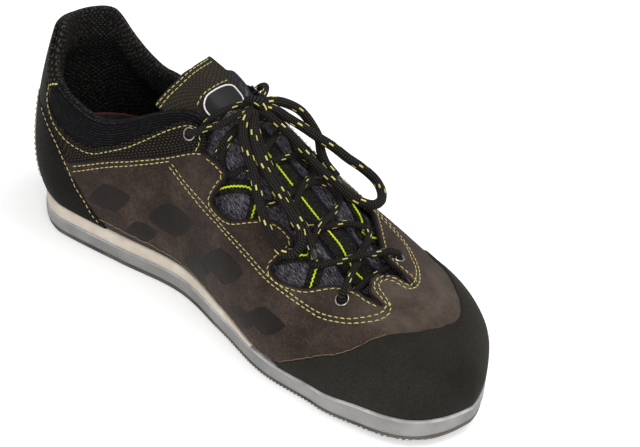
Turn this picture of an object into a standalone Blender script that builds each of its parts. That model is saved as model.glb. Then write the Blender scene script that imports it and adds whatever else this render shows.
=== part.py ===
"""Left shooting shoe, standing on its sole: +X to the toe, +Y to the outer side, +Z up, floor at zero."""

import math

import bmesh
import bpy
import numpy as np
from mathutils import Matrix, Vector

# Driving sizes, in millimetres
MM = 0.001
GAP = 0.3
HEEL_END = -145.0
TOE_END = 145.0
OUTSOLE = 2.5
MIDSOLE_TOP = 9.6
TOE_SPRING = 5.0
SPRING_START = 70.0
HEEL_LIFT = 2.0
LEDGE_HEEL = 1.4
LEDGE_TOE = 2.6
WEDGE_FRONT = 40.0
WALL = 2.0
COLLAR_PAD = 6.5
OVERLAY = 1.3
TONGUE = 3.2
TONGUE_TOP = 1.6
TONGUE_DROP = 5.0
LACE = 4.2
WEBBING = 7.0
WEBBING_THICK = 1.2
EYELET_HOLE = 2.4
EYELET_BARREL = 2.8
EYELET_FLANGE = 3.6
EYELET_RIM = 0.8
INSOLE = 4.0
VAMP_SLOPE = 0.18
RIPPLE_FROM = 12.0
RIPPLE_TO = 120.0
RIPPLE_PITCH = 5.0
RIPPLE_DEPTH = 1.1
SHIFT = (1.04, -5.33)


def table(columns, *rows):
    """A table as a dictionary of named columns; the first column is the key."""
    return dict(zip(columns.split(), np.array(rows, float).T))


# One row for each half-section of the last, from the back of the heel to the tip of the toe. turn is the way
# that a section faces in plan (180 back, 90 sideways, 0 forward) from its point on the spine. medial and
# lateral are its reach at the feather edge, full and lift the exponents of its arch, bulge its swell at bulge_at.
SECTIONS = table(
    "station turn spine_x spine_y medial lateral feather ridge full_m full_l lift bulge_m bulge_l bulge_at",
    (-145, 180, -104, 0.0, 36.5, 36.5, 18.5, 150, 2.7, 2.7, 2.6, 6.0, 6.0, 36),
    (-132, 140, -104, 0.0, 34.5, 35.5, 17.5, 145, 2.7, 2.7, 2.6, 7.0, 5.5, 36),
    (-104, 90, -104, 0.0, 34.0, 34.5, 16.4, 130, 2.6, 2.6, 2.5, 6.2, 4.5, 36),
    (-65, 90, -65, 0.5, 31.0, 37.0, 16.2, 116, 2.5, 2.5, 2.4, 5.2, 3.0, 34),
    (-25, 90, -25, 0.5, 27.0, 40.5, 15.2, 104, 2.5, 2.3, 2.2, 5.0, 2.5, 34),
    (15, 90, 15, -1.0, 35.5, 51.0, 13.1, 83, 2.3, 2.1, 2.1, 4.0, 2.5, 26),
    (50, 90, 50, -4.0, 42.0, 61.0, 10.3, 67, 2.3, 2.1, 2.1, 2.5, 2.5, 18),
    (85, 90, 85, -7.0, 39.0, 60.0, 10.3, 56, 2.4, 2.3, 2.1, 2.5, 2.5, 15),
    (105, 60, 85, -7.0, 42.5, 54.5, 12.4, 56, 2.5, 2.2, 2.1, 2.5, 2.5, 14),
    (125, 30, 85, -7.0, 54.5, 52.0, 13.8, 56, 2.6, 2.3, 2.2, 2.5, 2.5, 13),
    (145, 0, 85, -7.0, 57.5, 57.5, 13.8, 56, 2.6, 2.6, 2.3, 2.5, 2.5, 13),
)

# Height of the collar's rim, from the heel tab down to the ankle and up to the top eyelets.
COLLAR = table(
    "station height",
    (-145, 106.5), (-139, 107.3), (-133, 106.5), (-129, 102.5), (-124, 95.5), (-118, 90), (-111, 86.5), (-104, 83),
    (-96, 80.3), (-88, 78.2), (-80, 78.2), (-72, 80.5), (-65, 84), (-58, 87.8), (-50.5, 91.6), (-43.5, 95),
    (-37.3, 97), (-30.8, 97.3),
)

# Girth angle of the throat's free edge on each side: collar front, lobe, scallop, lobe, scallop, eyelet point.
THROAT = table(
    "place medial lateral",
    (-30.8, 63.8, 68.0), (-28.0, 61.8, 67.2), (-25.2, 59.0, 66.0), (-23.0, 56.0, 64.5), (-21.9, 52.3, 63.0),
    (-20.6, 50.2, 62.0), (-18.4, 51.3, 62.0), (-12.5, 53.2, 63.0), (-8.5, 54.0, 64.0), (-6.5, 53.8, 64.2),
    (-5.3, 52.4, 63.8), (-4.6, 49.5, 62.6), (-4.1, 45.0, 61.0), (-3.6, 40.6, 59.4), (-3.0, 38.0, 58.2),
    (-1.6, 36.4, 57.5), (3.8, 36.8, 57.2), (9.0, 38.5, 58.0), (12.6, 41.8, 60.0), (16.4, 48.5, 64.0),
    (19.7, 55.0, 68.0), (24.1, 61.8, 70.5), (29.1, 64.3, 68.5), (34.8, 64.8, 63.6), (38.1, 62.9, 61.8),
    (39.7, 60.3, 61.4), (40.5, 57.0, 61.3), (41.0, 52.5, 61.3), (41.4, 48.0, 61.4), (41.9, 44.6, 61.6),
    (43.0, 42.3, 62.6), (45.5, 41.6, 66.0), (49.5, 41.8, 71.2), (54.3, 44.4, 77.0), (57.5, 46.8, 80.0),
    (60.3, 49.8, 81.6), (61.9, 54.0, 82.0), (63.2, 59.0, 82.2), (65.8, 66.3, 82.3), (69.8, 69.8, 82.3),
    (73.1, 72.2, 82.2),
)

# Front end of the throat, from the last eyelet point into the notch and round the vamp's tab to the ridge.
TAB = table(
    "row medial_girth medial_station lateral_girth lateral_station",
    (1, 72.8, 110, 82.6, 119), (2, 75.2, 99, 84.6, 105), (3, 78.0, 89, 86.4, 93),
    (4, 82.4, 83, 88.2, 84), (5, 90.0, 81.5, 90.0, 81.5),
)
SLANT = 0.4
SLANT_GIRTH = 45.0

# Border of the toe cap, as a girth angle along each side.
TOE_CAP = table(
    "station medial lateral",
    (50, 0, 2), (58.5, 2, 18), (66, 7.5, 33), (73.2, 13, 42.5), (80, 19, 47.8), (86, 24.5, 48.6), (91.2, 28.7, 49.2),
    (97.8, 35.3, 50), (103, 42.5, 50.2), (108.8, 49.5, 49.6), (115, 55.5, 48.8), (121.8, 59.6, 48.6),
    (132.5, 61.4, 52.6), (139.2, 61.2, 57.2), (145, 60, 60),
)

# Top of the heel counter, from its front end to the back.
COUNTER = table(
    "station height",
    (-145, 71), (-124, 70), (-119.5, 68.6), (-114, 64.8), (-107.8, 58.8), (-98.8, 45.8), (-92, 36.8), (-85.8, 28.4),
    (-79, 20.2), (-75.5, 17.4),
)

# Leather panel under the collar: girth angles of its lower and upper borders on the medial side, and how much
# higher both lie on the lateral side.
PANEL = table(
    "station low high lateral",
    (-119.5, 20.8, 27.5, 0), (-113.2, 19.4, 22.8, 0), (-107.8, 17.8, 21.4, 0), (-104, 15.4, 20.8, 0),
    (-98.8, 12.2, 20.2, 0), (-96, 12.2, 20.0, 0), (-89.8, 14.0, 20.1, 0.2), (-81.8, 16.7, 21.6, 0.6),
    (-71.2, 20.6, 25.8, 1.4), (-60.2, 24.8, 32.7, 2.6), (-47.5, 30.6, 42.5, 4.6), (-38.8, 35.2, 51.4, 6.5),
    (-33.2, 38.8, 55.9, 7.2), (-26.8, 43.6, 58.6, 7.5), (-22, 47.4, 58.0, 7.5),
)

# Edge of the tongue on each side, as a girth angle.
TONGUE_EDGE = table(
    "station medial lateral",
    (-53, 56, 59), (-45, 54.5, 58), (-36, 50, 56), (-25, 42, 52), (-12, 33, 47), (20, 31, 47), (55, 34, 52),
    (72, 44, 60), (85, 54, 66), (115, 64, 68), (145, 68, 68),
)

# Eyelets: across is the angle from the ridge, negative on the medial side.
EYELETS = table("station across layered", (80, -30.2, 0), (78.5, 13.2, 0), (-30, -38.8, 1), (-30, 28, 1))

# Webbing loops that hold the lace in the scallops, from one end under the upper to the other.
LOOPS = {
    "medial_rear": table(
        "station across",
        (-9, -51), (-3, -44), (4, -36), (10.5, -29.5), (14, -28.5), (16.5, -30.5), (17.5, -35), (18.2, -40), (19, -46),
    ),
    "medial_front": table(
        "station across",
        (38, -45), (43, -38), (49, -30), (54, -24), (57, -22.5), (59.3, -24.5), (60.8, -30), (62, -36), (63.2, -42),
    ),
    "lateral_rear": table(
        "station across",
        (-7, 32), (-1, 27), (5, 21.5), (10, 17), (13.2, 15.5), (16, 17), (18, 21.5), (19.2, 26.5), (20, 32),
    ),
    "lateral_front": table(
        "station across",
        (36, 29), (41, 24.5), (47, 21.5), (52, 18), (56, 13.2), (58.7, 11.8), (61, 14), (62.3, 19), (63, 25),
    ),
}

# The lace: two strands that cross over the tongue, a bar under the vamp, a strand to the knot, and the bow.
STRANDS = (
    table(
        "station across lift",
        (80, -30.2, 3.9), (78.2, -22.5, 3.6), (76, -16, 2.4), (71.5, -4.2, 1.2), (63.5, 8.5, 1.2), (60.5, 12, 1.2),
        (57.5, 12.5, 1.2), (53, 7.5, 1.2), (49.5, -1, 1.2), (46.5, -9, 1.2), (43.5, -16, 1.2), (41, -20.5, 1.2),
        (38.5, -20.5, 1.2), (34, -14, 1.2), (28, -1.5, 1.2), (22.5, 11, 1.2), (19, 15, 1.2), (15.5, 16, 1.2),
        (12.8, 12.5, 1.2), (11.5, 2, 1.2), (9.5, -10, 1.2), (6.5, -20.5, 1.2), (3, -26.5, 1.2), (-1, -30, 1.2),
        (-4.5, -29, 1.2), (-7.5, -20, 1.2), (-10, -6, 1.2), (-12, 8, 1.2), (-13.5, 18.5, 1.2), (-14.5, 22.5, 1.0),
    ),
    table(
        "station across lift",
        (78.5, 13.2, 3.9), (76.5, 10.5, 3.7), (74, 6.5, 2.8), (69.5, -3.5, 1.2), (63.5, -18.5, 1.2), (61, -24, 1.2),
        (58.5, -26, 1.2), (55.5, -24.5, 1.2), (50, -15.5, 1.2), (47.5, -6, 1.2), (45, 3, 1.2), (41.5, 10.5, 1.2),
        (38, 14, 1.2), (34, 14.5, 1.2), (30, 13, 1.2), (27.5, 8, 1.2), (27.5, -3, 1.2), (26, -19, 1.2),
        (23.5, -25, 1.2), (20, -28, 1.2), (16.5, -28.5, 1.2), (13, -26, 1.2), (8, -15, 1.2), (3.5, -2, 1.2),
        (-1, 11, 1.2), (-3.5, 17, 1.2), (-6.3, 17.5, 1.2), (-8.5, 10, 1.2), (-10, 0, 1.2), (-10.5, -10.5, 1.2),
        (-11.2, -19.5, 1.2), (-12, -28, 1.2), (-12.8, -31.5, 1.0),
    ),
)
BAR = table("station across lift", (80, -30.2, -5.2), (79.6, -15, -5.2), (79, 0, -5.2), (78.5, 13.2, -5.2))
TOP_STRAND = table(
    "station across lift",
    (-30, -38.8, 5.7), (-25, -34, 5.6), (-20, -27, 5.6), (-15.5, -19.5, 5.8), (-13.3, -10, 6.4), (-13, 0.5, 7.0),
    (-16, 8, 7.0), (-21, 16, 7.0), (-26, 23, 6.4), (-30, 28, 5.7),
)
KNOT = table("station across", (-13, 0.5))
BOW = {
    "lace_bow_medial": table(
        "station across lift",
        (-6.5, -13.5, 6.2), (2, -17.5, 6.2), (10, -21.5, 6.2), (17.5, -26.5, 6.2), (24, -30.5, 6.2), (31, -34, 6.2),
        (39, -35.5, 6.2), (45.5, -35, 6.2), (49.5, -31.5, 6.2), (49.5, -26, 6.2), (46, -21.5, 6.2), (39.5, -20, 6.2),
        (32.5, -19, 6.2), (24, -18, 6.2), (15.5, -16.5, 6.2), (6, -14.5, 6.2), (-3.5, -9.5, 6.2),
    ),
    "lace_bow_lateral": table(
        "station across lift",
        (-7.5, 8.5, 7.5), (-1.5, 10.5, 9), (4.5, 13.5, 10), (10.5, 16.5, 11), (17.5, 20.5, 12), (25, 23, 12.5),
        (31, 29, 12.5), (37, 32, 12), (45, 29, 11), (50, 25, 9), (51, 19.5, 7.5), (46.5, 15, 6.4), (40, 12, 6.2),
        (31, 11, 6.2), (23, 9, 6.2), (13, 9, 6.2), (4, 8, 6.2), (-4.8, 3.5, 6.2),
    ),
    "lace_end_medial": table(
        "station across lift",
        (-6, -4.5, 6.2), (3, -7.5, 6.2), (9, -9.2, 6.2), (17, -10.8, 6.2), (25, -12, 6.2), (34, -13, 6.2),
        (42.5, -14, 6.2), (48.5, -16.5, 6.2), (54.5, -20, 6.2),
    ),
    "lace_end_lateral": table(
        "station across lift",
        (-11.5, 9.5, 9.7), (-8.5, 14.5, 11), (-3.5, 18.5, 12), (3.5, 20.5, 11), (10, 22, 8.8), (15.5, 20, 6.4),
        (22.5, 16.2, 6.2), (29, 17, 6.2),
    ),
}


def smooth(keys, values, at):
    """Cubic through the rows of a column, with each slope taken from the rows on both sides."""
    step = np.diff(keys)
    rise = np.diff(values) / step
    slope = np.empty_like(values)
    slope[1:-1] = (rise[:-1] * step[1:] + rise[1:] * step[:-1]) / (step[:-1] + step[1:])
    slope[0], slope[-1] = rise[0], rise[-1]
    at = np.clip(np.asarray(at, float), keys[0], keys[-1])
    i = np.clip(np.searchsorted(keys, at, side="right") - 1, 0, len(keys) - 2)
    t = (at - keys[i]) / step[i]
    a, b = values[i], values[i + 1]
    m, n = slope[i] * step[i], slope[i + 1] * step[i]
    return a + t * (m + t * (3 * (b - a) - 2 * m - n + t * (m + n - 2 * (b - a))))


def section(column, station):
    """A column of the sections at a station. The fans of the heel and the toe turn evenly."""
    if column in ("turn", "spine_x"):
        return np.interp(station, SECTIONS["station"], SECTIONS[column])
    return smooth(SECTIONS["station"], SECTIONS[column], station)


def by_side(side, medial, lateral):
    return np.where(np.asarray(side) < 0, medial, lateral)


def last_point(station, side, girth):
    """A point of the last: side is -1 medial or 1 lateral, girth runs from 0 at the sole to 90 on the ridge."""
    angle = np.radians(np.clip(girth, 0, 90))
    turn = np.radians(section("turn", station))
    reach = by_side(side, section("medial", station), section("lateral", station))
    full = by_side(side, section("full_m", station), section("full_l", station))
    bulge = by_side(side, section("bulge_m", station), section("bulge_l", station))
    foot = section("feather", station)
    inward = np.clip(np.cos(angle), 0, 1) ** (2 / full)
    upward = np.clip(np.sin(angle), 0, 1) ** (2 / section("lift", station))
    ahead = np.clip(inward * reach * np.cos(turn), 0, None)
    height = (section("ridge", station) - foot - VAMP_SLOPE * ahead) * upward
    swell = height / section("bulge_at", station)
    out = inward * reach + bulge * swell * np.exp(1 - swell) * np.clip(inward * 4, 0, 1)
    x = section("spine_x", station) + out * np.cos(turn)
    y = section("spine_y", station) + side * out * np.sin(turn)
    return np.stack(np.broadcast_arrays(x, y, foot + height), -1)


def girth_at(station, height):
    """Girth angle of a height above the floor, on the sections that face sideways or back."""
    foot = section("feather", station)
    share = np.clip((height - foot) / (section("ridge", station) - foot), 0, 1)
    return np.degrees(np.arcsin(share ** (section("lift", station) / 2)))


def outward(station, side, girth):
    """Unit normal of the last, pointing out; level at the sole and square to the spine on the ridge."""
    reach_s, reach_g = 0.4, 0.4
    low, high = np.clip(girth - reach_g, 0.5, 87.0), np.clip(girth + reach_g, 1.3, 87.8)
    back, fore = np.clip(station - reach_s, -144.8, 144.0), np.clip(station + reach_s, -144.0, 144.8)
    middle = (low + high) / 2
    along = last_point(fore, side, middle) - last_point(back, side, middle)
    up = last_point(station, side, high) - last_point(station, side, low)
    normal = np.cross(along, up) * -np.asarray(side, float)[..., None]
    normal /= np.linalg.norm(normal, axis=-1, keepdims=True)
    fan = station > SECTIONS["spine_x"][-1]
    run = section("ridge", np.clip(station, -140, 84) + 1) - section("ridge", np.clip(station, -140, 84) - 1)
    slope = np.where(fan, -VAMP_SLOPE, run / 2)
    crest = np.stack([-slope, 0 * slope, 1 + 0 * slope], -1)
    crest /= np.linalg.norm(crest, axis=-1, keepdims=True)
    share = np.clip((girth - 80) / 9, 0, 1)[..., None]
    normal = normal * (1 - share) + crest * share
    normal[..., 2] = np.where(girth < 0.5, 0, normal[..., 2])
    normal[..., 1] = np.where(np.abs(station) > TOE_END - 0.1, 0, normal[..., 1])
    return normal / np.linalg.norm(normal, axis=-1, keepdims=True)


def skin(station, side, girth, lift=0.0):
    """A point of the upper's outside, raised along its normal."""
    station, side, girth, lift = np.broadcast_arrays(
        np.asarray(station, float), np.asarray(side, float), np.asarray(girth, float), np.asarray(lift, float)
    )
    return last_point(station, side, girth) + outward(station, side, girth) * lift[..., None]


def outline(station, side, push):
    """A point of the feather edge in plan, pushed out along its section."""
    turn = np.radians(section("turn", station))
    way = np.stack([np.cos(turn), side * np.sin(turn), 0 * turn], -1)
    return last_point(station, side, np.zeros_like(station)) + way * np.broadcast_to(push, turn.shape)[:, None]


def ledge(station):
    share = np.clip((station - 50) / 60, 0, 1)
    return LEDGE_HEEL + (LEDGE_TOE - LEDGE_HEEL) * share


def ground(station):
    """Underside of the sole: flat, with a toe spring and a lifted edge at the back of the heel."""
    toe = np.clip((station - SPRING_START) / (TOE_END - SPRING_START), 0, 1) ** 1.6
    heel = np.clip((-132 - station) / 13, 0, 1) ** 2
    return TOE_SPRING * toe + HEEL_LIFT * heel


def midsole_top(station):
    """The midsole is level under the wedge and takes the upper's edge ahead of it."""
    share = np.clip((station - WEDGE_FRONT) / 10, 0, 1)
    share = share * share * (3 - 2 * share)
    return MIDSOLE_TOP + (section("feather", station) - GAP - MIDSOLE_TOP) * share


# Mesh helpers


def material(name, colour, roughness, metallic=0.0):
    made = bpy.data.materials.new(name)
    made.use_nodes = True
    shader = made.node_tree.nodes["Principled BSDF"]
    shader.inputs["Base Color"].default_value = (*colour, 1)
    shader.inputs["Roughness"].default_value = roughness
    shader.inputs["Metallic"].default_value = metallic
    return made


def add_object(name, data, colour, roughness, metallic=0.0):
    made = bpy.data.objects.new(name, data)
    PARTS.objects.link(made)
    made.parent = ROOT
    made.data.materials.append(material(name, colour, roughness, metallic))
    return made


def solid(name, points, faces, *finish):
    """A closed mesh from points in millimetres; its faces are turned outwards and shaded smooth."""
    mesh = bpy.data.meshes.new(name)
    build = bmesh.new()
    corners = [build.verts.new(Vector(point) * MM) for point in points]
    for face in faces:
        ring = [corner for k, corner in enumerate(face) if corner != face[k - 1]]
        if len(set(ring)) > 2:
            build.faces.new([corners[corner] for corner in ring])
    bmesh.ops.delete(build, geom=[vert for vert in build.verts if not vert.link_faces], context="VERTS")
    bmesh.ops.recalc_face_normals(build, faces=build.faces)
    build.to_mesh(mesh)
    build.free()
    mesh.shade_smooth()
    mesh.set_sharp_from_angle(angle=math.radians(35))
    return add_object(name, mesh, *finish)


def block(count, width, start=0):
    """Quads of a grid of count by width points."""
    return [
        (start + i * width + j, start + (i + 1) * width + j, start + (i + 1) * width + j + 1, start + i * width + j + 1)
        for i in range(count - 1)
        for j in range(width - 1)
    ]


def shell(name, patches, *finish):
    """A wall between two sheets. A patch is (station, side, girth, outer lift, inner lift), each a grid."""
    outer, inner, faces = [], [], []
    for station, side, girth, high, low in patches:
        shape = station.shape
        start = sum(len(sheet) for sheet in outer)
        outer.append(skin(station, side, girth, high).reshape(-1, 3))
        inner.append(skin(station, side, girth, low).reshape(-1, 3))
        faces += block(*shape, start)
    outer, inner = np.vstack(outer), np.vstack(inner)
    _, first, twin = np.unique(np.round(outer, 2), axis=0, return_index=True, return_inverse=True)
    keep = first[twin.reshape(-1)]
    faces = [tuple(keep[list(face)]) for face in faces]
    faces = [face for face in faces if len(set(face)) > 2]
    count = {}
    for face in faces:
        for k, corner in enumerate(face):
            if corner != face[k - 1]:
                edge = (min(corner, face[k - 1]), max(corner, face[k - 1]))
                count[edge] = count.get(edge, 0) + 1
    under = len(outer)
    walls = [(a, b, b + under, a + under) for (a, b), used in count.items() if used == 1]
    back = [tuple(corner + under for corner in reversed(face)) for face in faces]
    return solid(name, np.vstack([outer, inner]), faces + back + walls, *finish)


def slab(name, station, levels, *finish):
    """A layer of the sole through levels from bottom to top, each (push of the outline, heights)."""
    count = len(station)
    points, faces = [], []
    for push, height in levels:
        for side in (-1, 1):
            ring = outline(station, side, push)
            ring[:, 2] = height
            points.append(ring)
    points = np.vstack(points)
    twin = np.arange(len(points))
    for level in range(len(levels)):
        base = level * 2 * count
        for end in (0, count - 1):
            if np.linalg.norm(points[base + end] - points[base + count + end]) < 0.01:
                twin[base + count + end] = base + end
    for level in range(len(levels) - 1):
        for side in (0, 1):
            low = (level * 2 + side) * count
            high = low + 2 * count
            faces += [(low + i, low + i + 1, high + i + 1, high + i) for i in range(count - 1)]
        for end in (0, count - 1):
            low, high = level * 2 * count + end, (level + 1) * 2 * count + end
            faces.append((low, low + count, high + count, high))
    for base in (0, (len(levels) - 1) * 2 * count):
        faces += [(base + i, base + i + 1, base + count + i + 1, base + count + i) for i in range(count - 1)]
    faces = [tuple(twin[list(face)]) for face in faces]
    return solid(name, points, faces, *finish)


# Sole


def sole_stations(first, last, step):
    """Even stations, closer together round the heel and the toe."""
    even = np.arange(first, last + 0.01, step)
    heel = np.linspace(HEEL_END, -104, 12)
    toe = np.linspace(85, TOE_END, 16)
    every = np.concatenate([even[(even > -104) & (even < 85)], heel, toe, [first, last]])
    return np.unique(every[(every >= first) & (every <= last)])


def make_outsole():
    tooth = np.arange(RIPPLE_FROM, RIPPLE_TO, RIPPLE_PITCH)
    smooth_part = sole_stations(HEEL_END, TOE_END, 12.0)
    smooth_part = smooth_part[(smooth_part < RIPPLE_FROM - 1) | (smooth_part > RIPPLE_TO + 1)]
    valley = tooth + 0.8 * RIPPLE_PITCH
    station = np.unique(np.concatenate([smooth_part, tooth, tooth + 0.6 * RIPPLE_PITCH, valley]))
    cut = np.where(np.isin(station, valley), RIPPLE_DEPTH, 0.0)
    push = ledge(station)
    tuck = 0.8 + 2.0 * np.clip((-110 - station) / 35, 0, 1)
    bottom = ground(station)
    levels = [(push - tuck, bottom + cut), (push - 0.3, bottom + OUTSOLE)]
    slab("outsole", station, levels, (0.11, 0.105, 0.095), 0.8)


def make_midsole():
    station = sole_stations(HEEL_END, TOE_END, 12.0)
    push = ledge(station)
    low, high = ground(station) + OUTSOLE + GAP, midsole_top(station)
    levels = [(push - 0.5, low), (push, low * 0.6 + high * 0.4), (push, low * 0.15 + high * 0.85), (push - 0.6, high)]
    slab("midsole", station, levels, (0.28, 0.285, 0.29), 0.6)


def make_wedge():
    station = sole_stations(HEEL_END, WEDGE_FRONT, 9.0)
    push = ledge(station)
    low, high = midsole_top(station) + GAP, section("feather", station) - GAP
    levels = [(push - 0.4, low), (push, low * 0.3 + high * 0.7), (push - 0.5, high)]
    slab("heel_wedge", station, levels, (0.62, 0.58, 0.5), 0.7)


def make_insole():
    station = sole_stations(HEEL_END, TOE_END, 12.0)
    low = section("feather", station)
    push = np.full_like(station, -WALL - 0.9)
    levels = [(push, low), (push, low + INSOLE)]
    slab("insole", station, levels, (0.03, 0.035, 0.06), 0.9)


# Upper

ROWS = 6
FRONT_COLUMNS = 12


def slanted(place, girth):
    """Station of a place on the throat: its columns lean forward as they rise, with the lobes."""
    share = np.clip((place + 60) / 40, 0, 1)
    return place + SLANT * share * (girth - SLANT_GIRTH)


def free_edge(place, side):
    """Girth angle of the upper's free edge, along the collar and then the throat."""
    collar = girth_at(place, smooth(COLLAR["station"], COLLAR["height"], place))
    throat = by_side(
        side, np.interp(place, THROAT["place"], THROAT["medial"]), np.interp(place, THROAT["place"], THROAT["lateral"])
    )
    return np.where(place < THROAT["place"][0], collar, throat)


def wall_at(place, share):
    """Thickness of the wall: padded round the collar's rim, thin at the throat."""
    round_heel = np.clip((-38 - place) / 24, 0, 1)
    near_rim = np.clip((share - 0.45) / 0.4, 0, 1)
    rolled = 1 - 0.45 * np.clip((share - 0.94) / 0.06, 0, 1)
    return WALL + (COLLAR_PAD - WALL) * round_heel * near_rim * rolled


def side_grid(side):
    """Station, girth and thickness of the wall from the back of the heel to the last eyelet point."""
    heel = np.linspace(HEEL_END, -104, 13)
    collar = np.linspace(-104, THROAT["place"][0], 14)[1:]
    place = np.concatenate([heel, collar, THROAT["place"][1:]])[:, None]
    share = np.linspace(0, 1, ROWS + 1)[None, :]
    girth = free_edge(place, side) * share
    return slanted(place, girth), girth, wall_at(place, share)


def front_rows(side):
    """Station and girth of each row where the vamp starts: the side's last column, then the tab."""
    station, girth, _ = side_grid(side)
    name = "medial" if side < 0 else "lateral"
    return np.append(station[-1], TAB[name + "_station"]), np.append(girth[-1], TAB[name + "_girth"])


def upper_patches(side):
    station, girth, thick = side_grid(side)
    yield station, np.full_like(station, side), girth, np.zeros_like(station), -thick
    run = np.linspace(0, 1, FRONT_COLUMNS + 1)[:, None]
    start, girth = front_rows(side)
    at_tip = (front_rows(-1)[1] + front_rows(1)[1]) / 2
    station = start + (TOE_END - start) * run
    girth = girth + (at_tip - girth) * run
    yield station, np.full_like(station, side), girth, np.zeros_like(station), np.full_like(station, -WALL)


def make_upper():
    patches = [patch for side in (-1, 1) for patch in upper_patches(side)]
    return shell("upper", patches, (0.075, 0.058, 0.048), 0.9)


# Layers on the upper


def band(side, station, low, high, rows, base, thick):
    """A patch between two borders, standing on a base height above the skin."""
    share = np.linspace(0, 1, rows + 1)[None, :]
    girth = low[:, None] + (high - low)[:, None] * share
    station = np.broadcast_to(station[:, None], girth.shape)
    base = np.broadcast_to(base, girth.shape)
    return station, np.full_like(girth, side), girth, base + thick, base


def column(rows, name, station):
    return np.interp(station, rows["station"], rows[name])


def make_toe_cap():
    patches = []
    for side, name, first in ((-1, "medial", 58.5), (1, "lateral", 50.0)):
        station = np.concatenate([np.arange(first, 82, 5.5), np.linspace(85, TOE_END, 17)])
        patches.append(band(side, station, 0 * station, column(TOE_CAP, name, station), 6, GAP, OVERLAY))
    return shell("toe_cap", patches, (0.026, 0.025, 0.022), 0.75)


def make_counter():
    station = np.concatenate([np.linspace(HEEL_END, -104, 13), np.arange(-99.5, -75, 4.8)])
    top = girth_at(station, smooth(COUNTER["station"], COUNTER["height"], station))
    patches = [band(side, station, 0 * station, top, 5, GAP, OVERLAY) for side in (-1, 1)]
    return shell("heel_counter", patches, (0.02, 0.019, 0.017), 0.55)


def make_collar_panel():
    back = np.linspace(HEEL_END, -121, 8)
    station = np.concatenate([back, [-119.5], np.linspace(-117, -22, 22)])
    behind = station < -120
    over_counter = girth_at(station, smooth(COUNTER["station"], COUNTER["height"], station)) + 0.8
    patches = []
    for side in (-1, 1):
        lift = column(PANEL, "lateral", station) * (side > 0)
        low = np.where(behind, over_counter, column(PANEL, "low", station) + lift)
        high = np.where(behind, free_edge(station, side) - 0.8, column(PANEL, "high", station) + lift)
        patches.append(band(side, station, low, high, 3, GAP, OVERLAY))
    return shell("collar_panel", patches, (0.021, 0.02, 0.018), 0.5)


# Tongue


def tongue_top(station, side, girth):
    """Height of the tongue's outside against the skin: deep under the upper and the lace bar, higher between."""
    edge = by_side(side, column(TONGUE_EDGE, "medial", station), column(TONGUE_EDGE, "lateral", station))
    inside = np.clip((girth - edge) / 30, 0, 1)
    bar = np.clip((station - 58) / 14, 0, 1)
    return -TONGUE_DROP + 1.4 * inside * (1 - bar) - 3.0 * bar * bar * (3 - 2 * bar)


def on_tongue(name, station, edges, base, thick, rows, *finish):
    """A layer over the tongue between a medial and a lateral girth, raised from the tongue's outside."""
    patches = []
    for side, edge in zip((-1, 1), edges):
        grid = band(side, station, edge, np.full_like(station, 90), rows, 0, 0)
        top = tongue_top(*grid[:3])
        patches.append((*grid[:3], top + base + thick, top + base))
    return shell(name, patches, *finish)


def make_tongue():
    station = np.concatenate([np.linspace(-53, 80, 18), np.linspace(85, TOE_END, 7)])
    edges = [column(TONGUE_EDGE, name, station) for name in ("medial", "lateral")]
    thick = (TONGUE + TONGUE_TOP * np.clip((-20 - station) / 20, 0, 1))[:, None]
    return on_tongue("tongue", station, edges, -thick, thick, 4, (0.012, 0.014, 0.028), 0.85)


def make_tongue_patch():
    station = np.linspace(-52.4, -33, 6)
    edges = [column(TONGUE_EDGE, name, station) + 2 for name in ("medial", "lateral")]
    return on_tongue("tongue_patch", station, edges, GAP, 0.9, 5, (0.02, 0.019, 0.018), 0.5)


def make_tongue_strap():
    station = np.linspace(-53, 80, 18)[6:17]
    edges = [np.full_like(station, girth) for girth in (81.0, 86.0)]
    return on_tongue("tongue_strap", station, edges, GAP, 0.9, 2, (0.015, 0.015, 0.016), 0.8)


# Eyelets, webbing loops and lace


def at_across(rows, lift):
    """Points and outward ways of a route given by its angle from the ridge."""
    side = np.where(rows["across"] < 0, -1.0, 1.0)
    girth = 90 - np.abs(rows["across"])
    return skin(rows["station"], side, girth, lift), outward(rows["station"], side, girth)


def facing(point, way):
    """Placing of a turned shape whose axis points along a way."""
    return Matrix.Translation(Vector(point) * MM) @ Vector(way).to_track_quat("Z", "Y").to_matrix().to_4x4()


def make_eyelet(name, point, way, depth):
    profile = (
        (EYELET_HOLE, -depth), (EYELET_BARREL, -depth), (EYELET_BARREL, GAP), (EYELET_FLANGE, GAP),
        (EYELET_FLANGE - 0.35, GAP + EYELET_RIM), (EYELET_HOLE, GAP + EYELET_RIM),
    )
    mesh = bpy.data.meshes.new(name)
    count = len(profile)
    points = [(radius * MM, 0, height * MM) for radius, height in profile]
    mesh.from_pydata(points, [(k, (k + 1) % count) for k in range(count)], [])
    made = add_object(name, mesh, (0.05, 0.048, 0.045), 0.35, 1.0)
    made.matrix_local = facing(point, way)
    turn = made.modifiers.new("turn", "SCREW")
    turn.steps = turn.render_steps = 12
    turn.use_merge_vertices = True
    turn.merge_threshold = 1e-5
    turn.use_normal_calculate = True
    turn.use_normal_flip = True


def drill(piece, name, point, way, radius, depth):
    """Cuts a round hole through a piece."""
    mesh = bpy.data.meshes.new(name)
    build = bmesh.new()
    bmesh.ops.create_cone(
        build, cap_ends=True, segments=12, radius1=radius * MM, radius2=radius * MM, depth=2 * depth * MM
    )
    build.to_mesh(mesh)
    build.free()
    cutter = bpy.data.objects.new(name, mesh)
    CUTTERS.objects.link(cutter)
    cutter.parent = ROOT
    cutter.matrix_local = facing(point, way)
    cutter.hide_render = True
    cutter.display_type = "WIRE"
    cut = piece.modifiers.new(name, "BOOLEAN")
    cut.operation = "DIFFERENCE"
    cut.solver = "EXACT"
    cut.object = cutter


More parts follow.
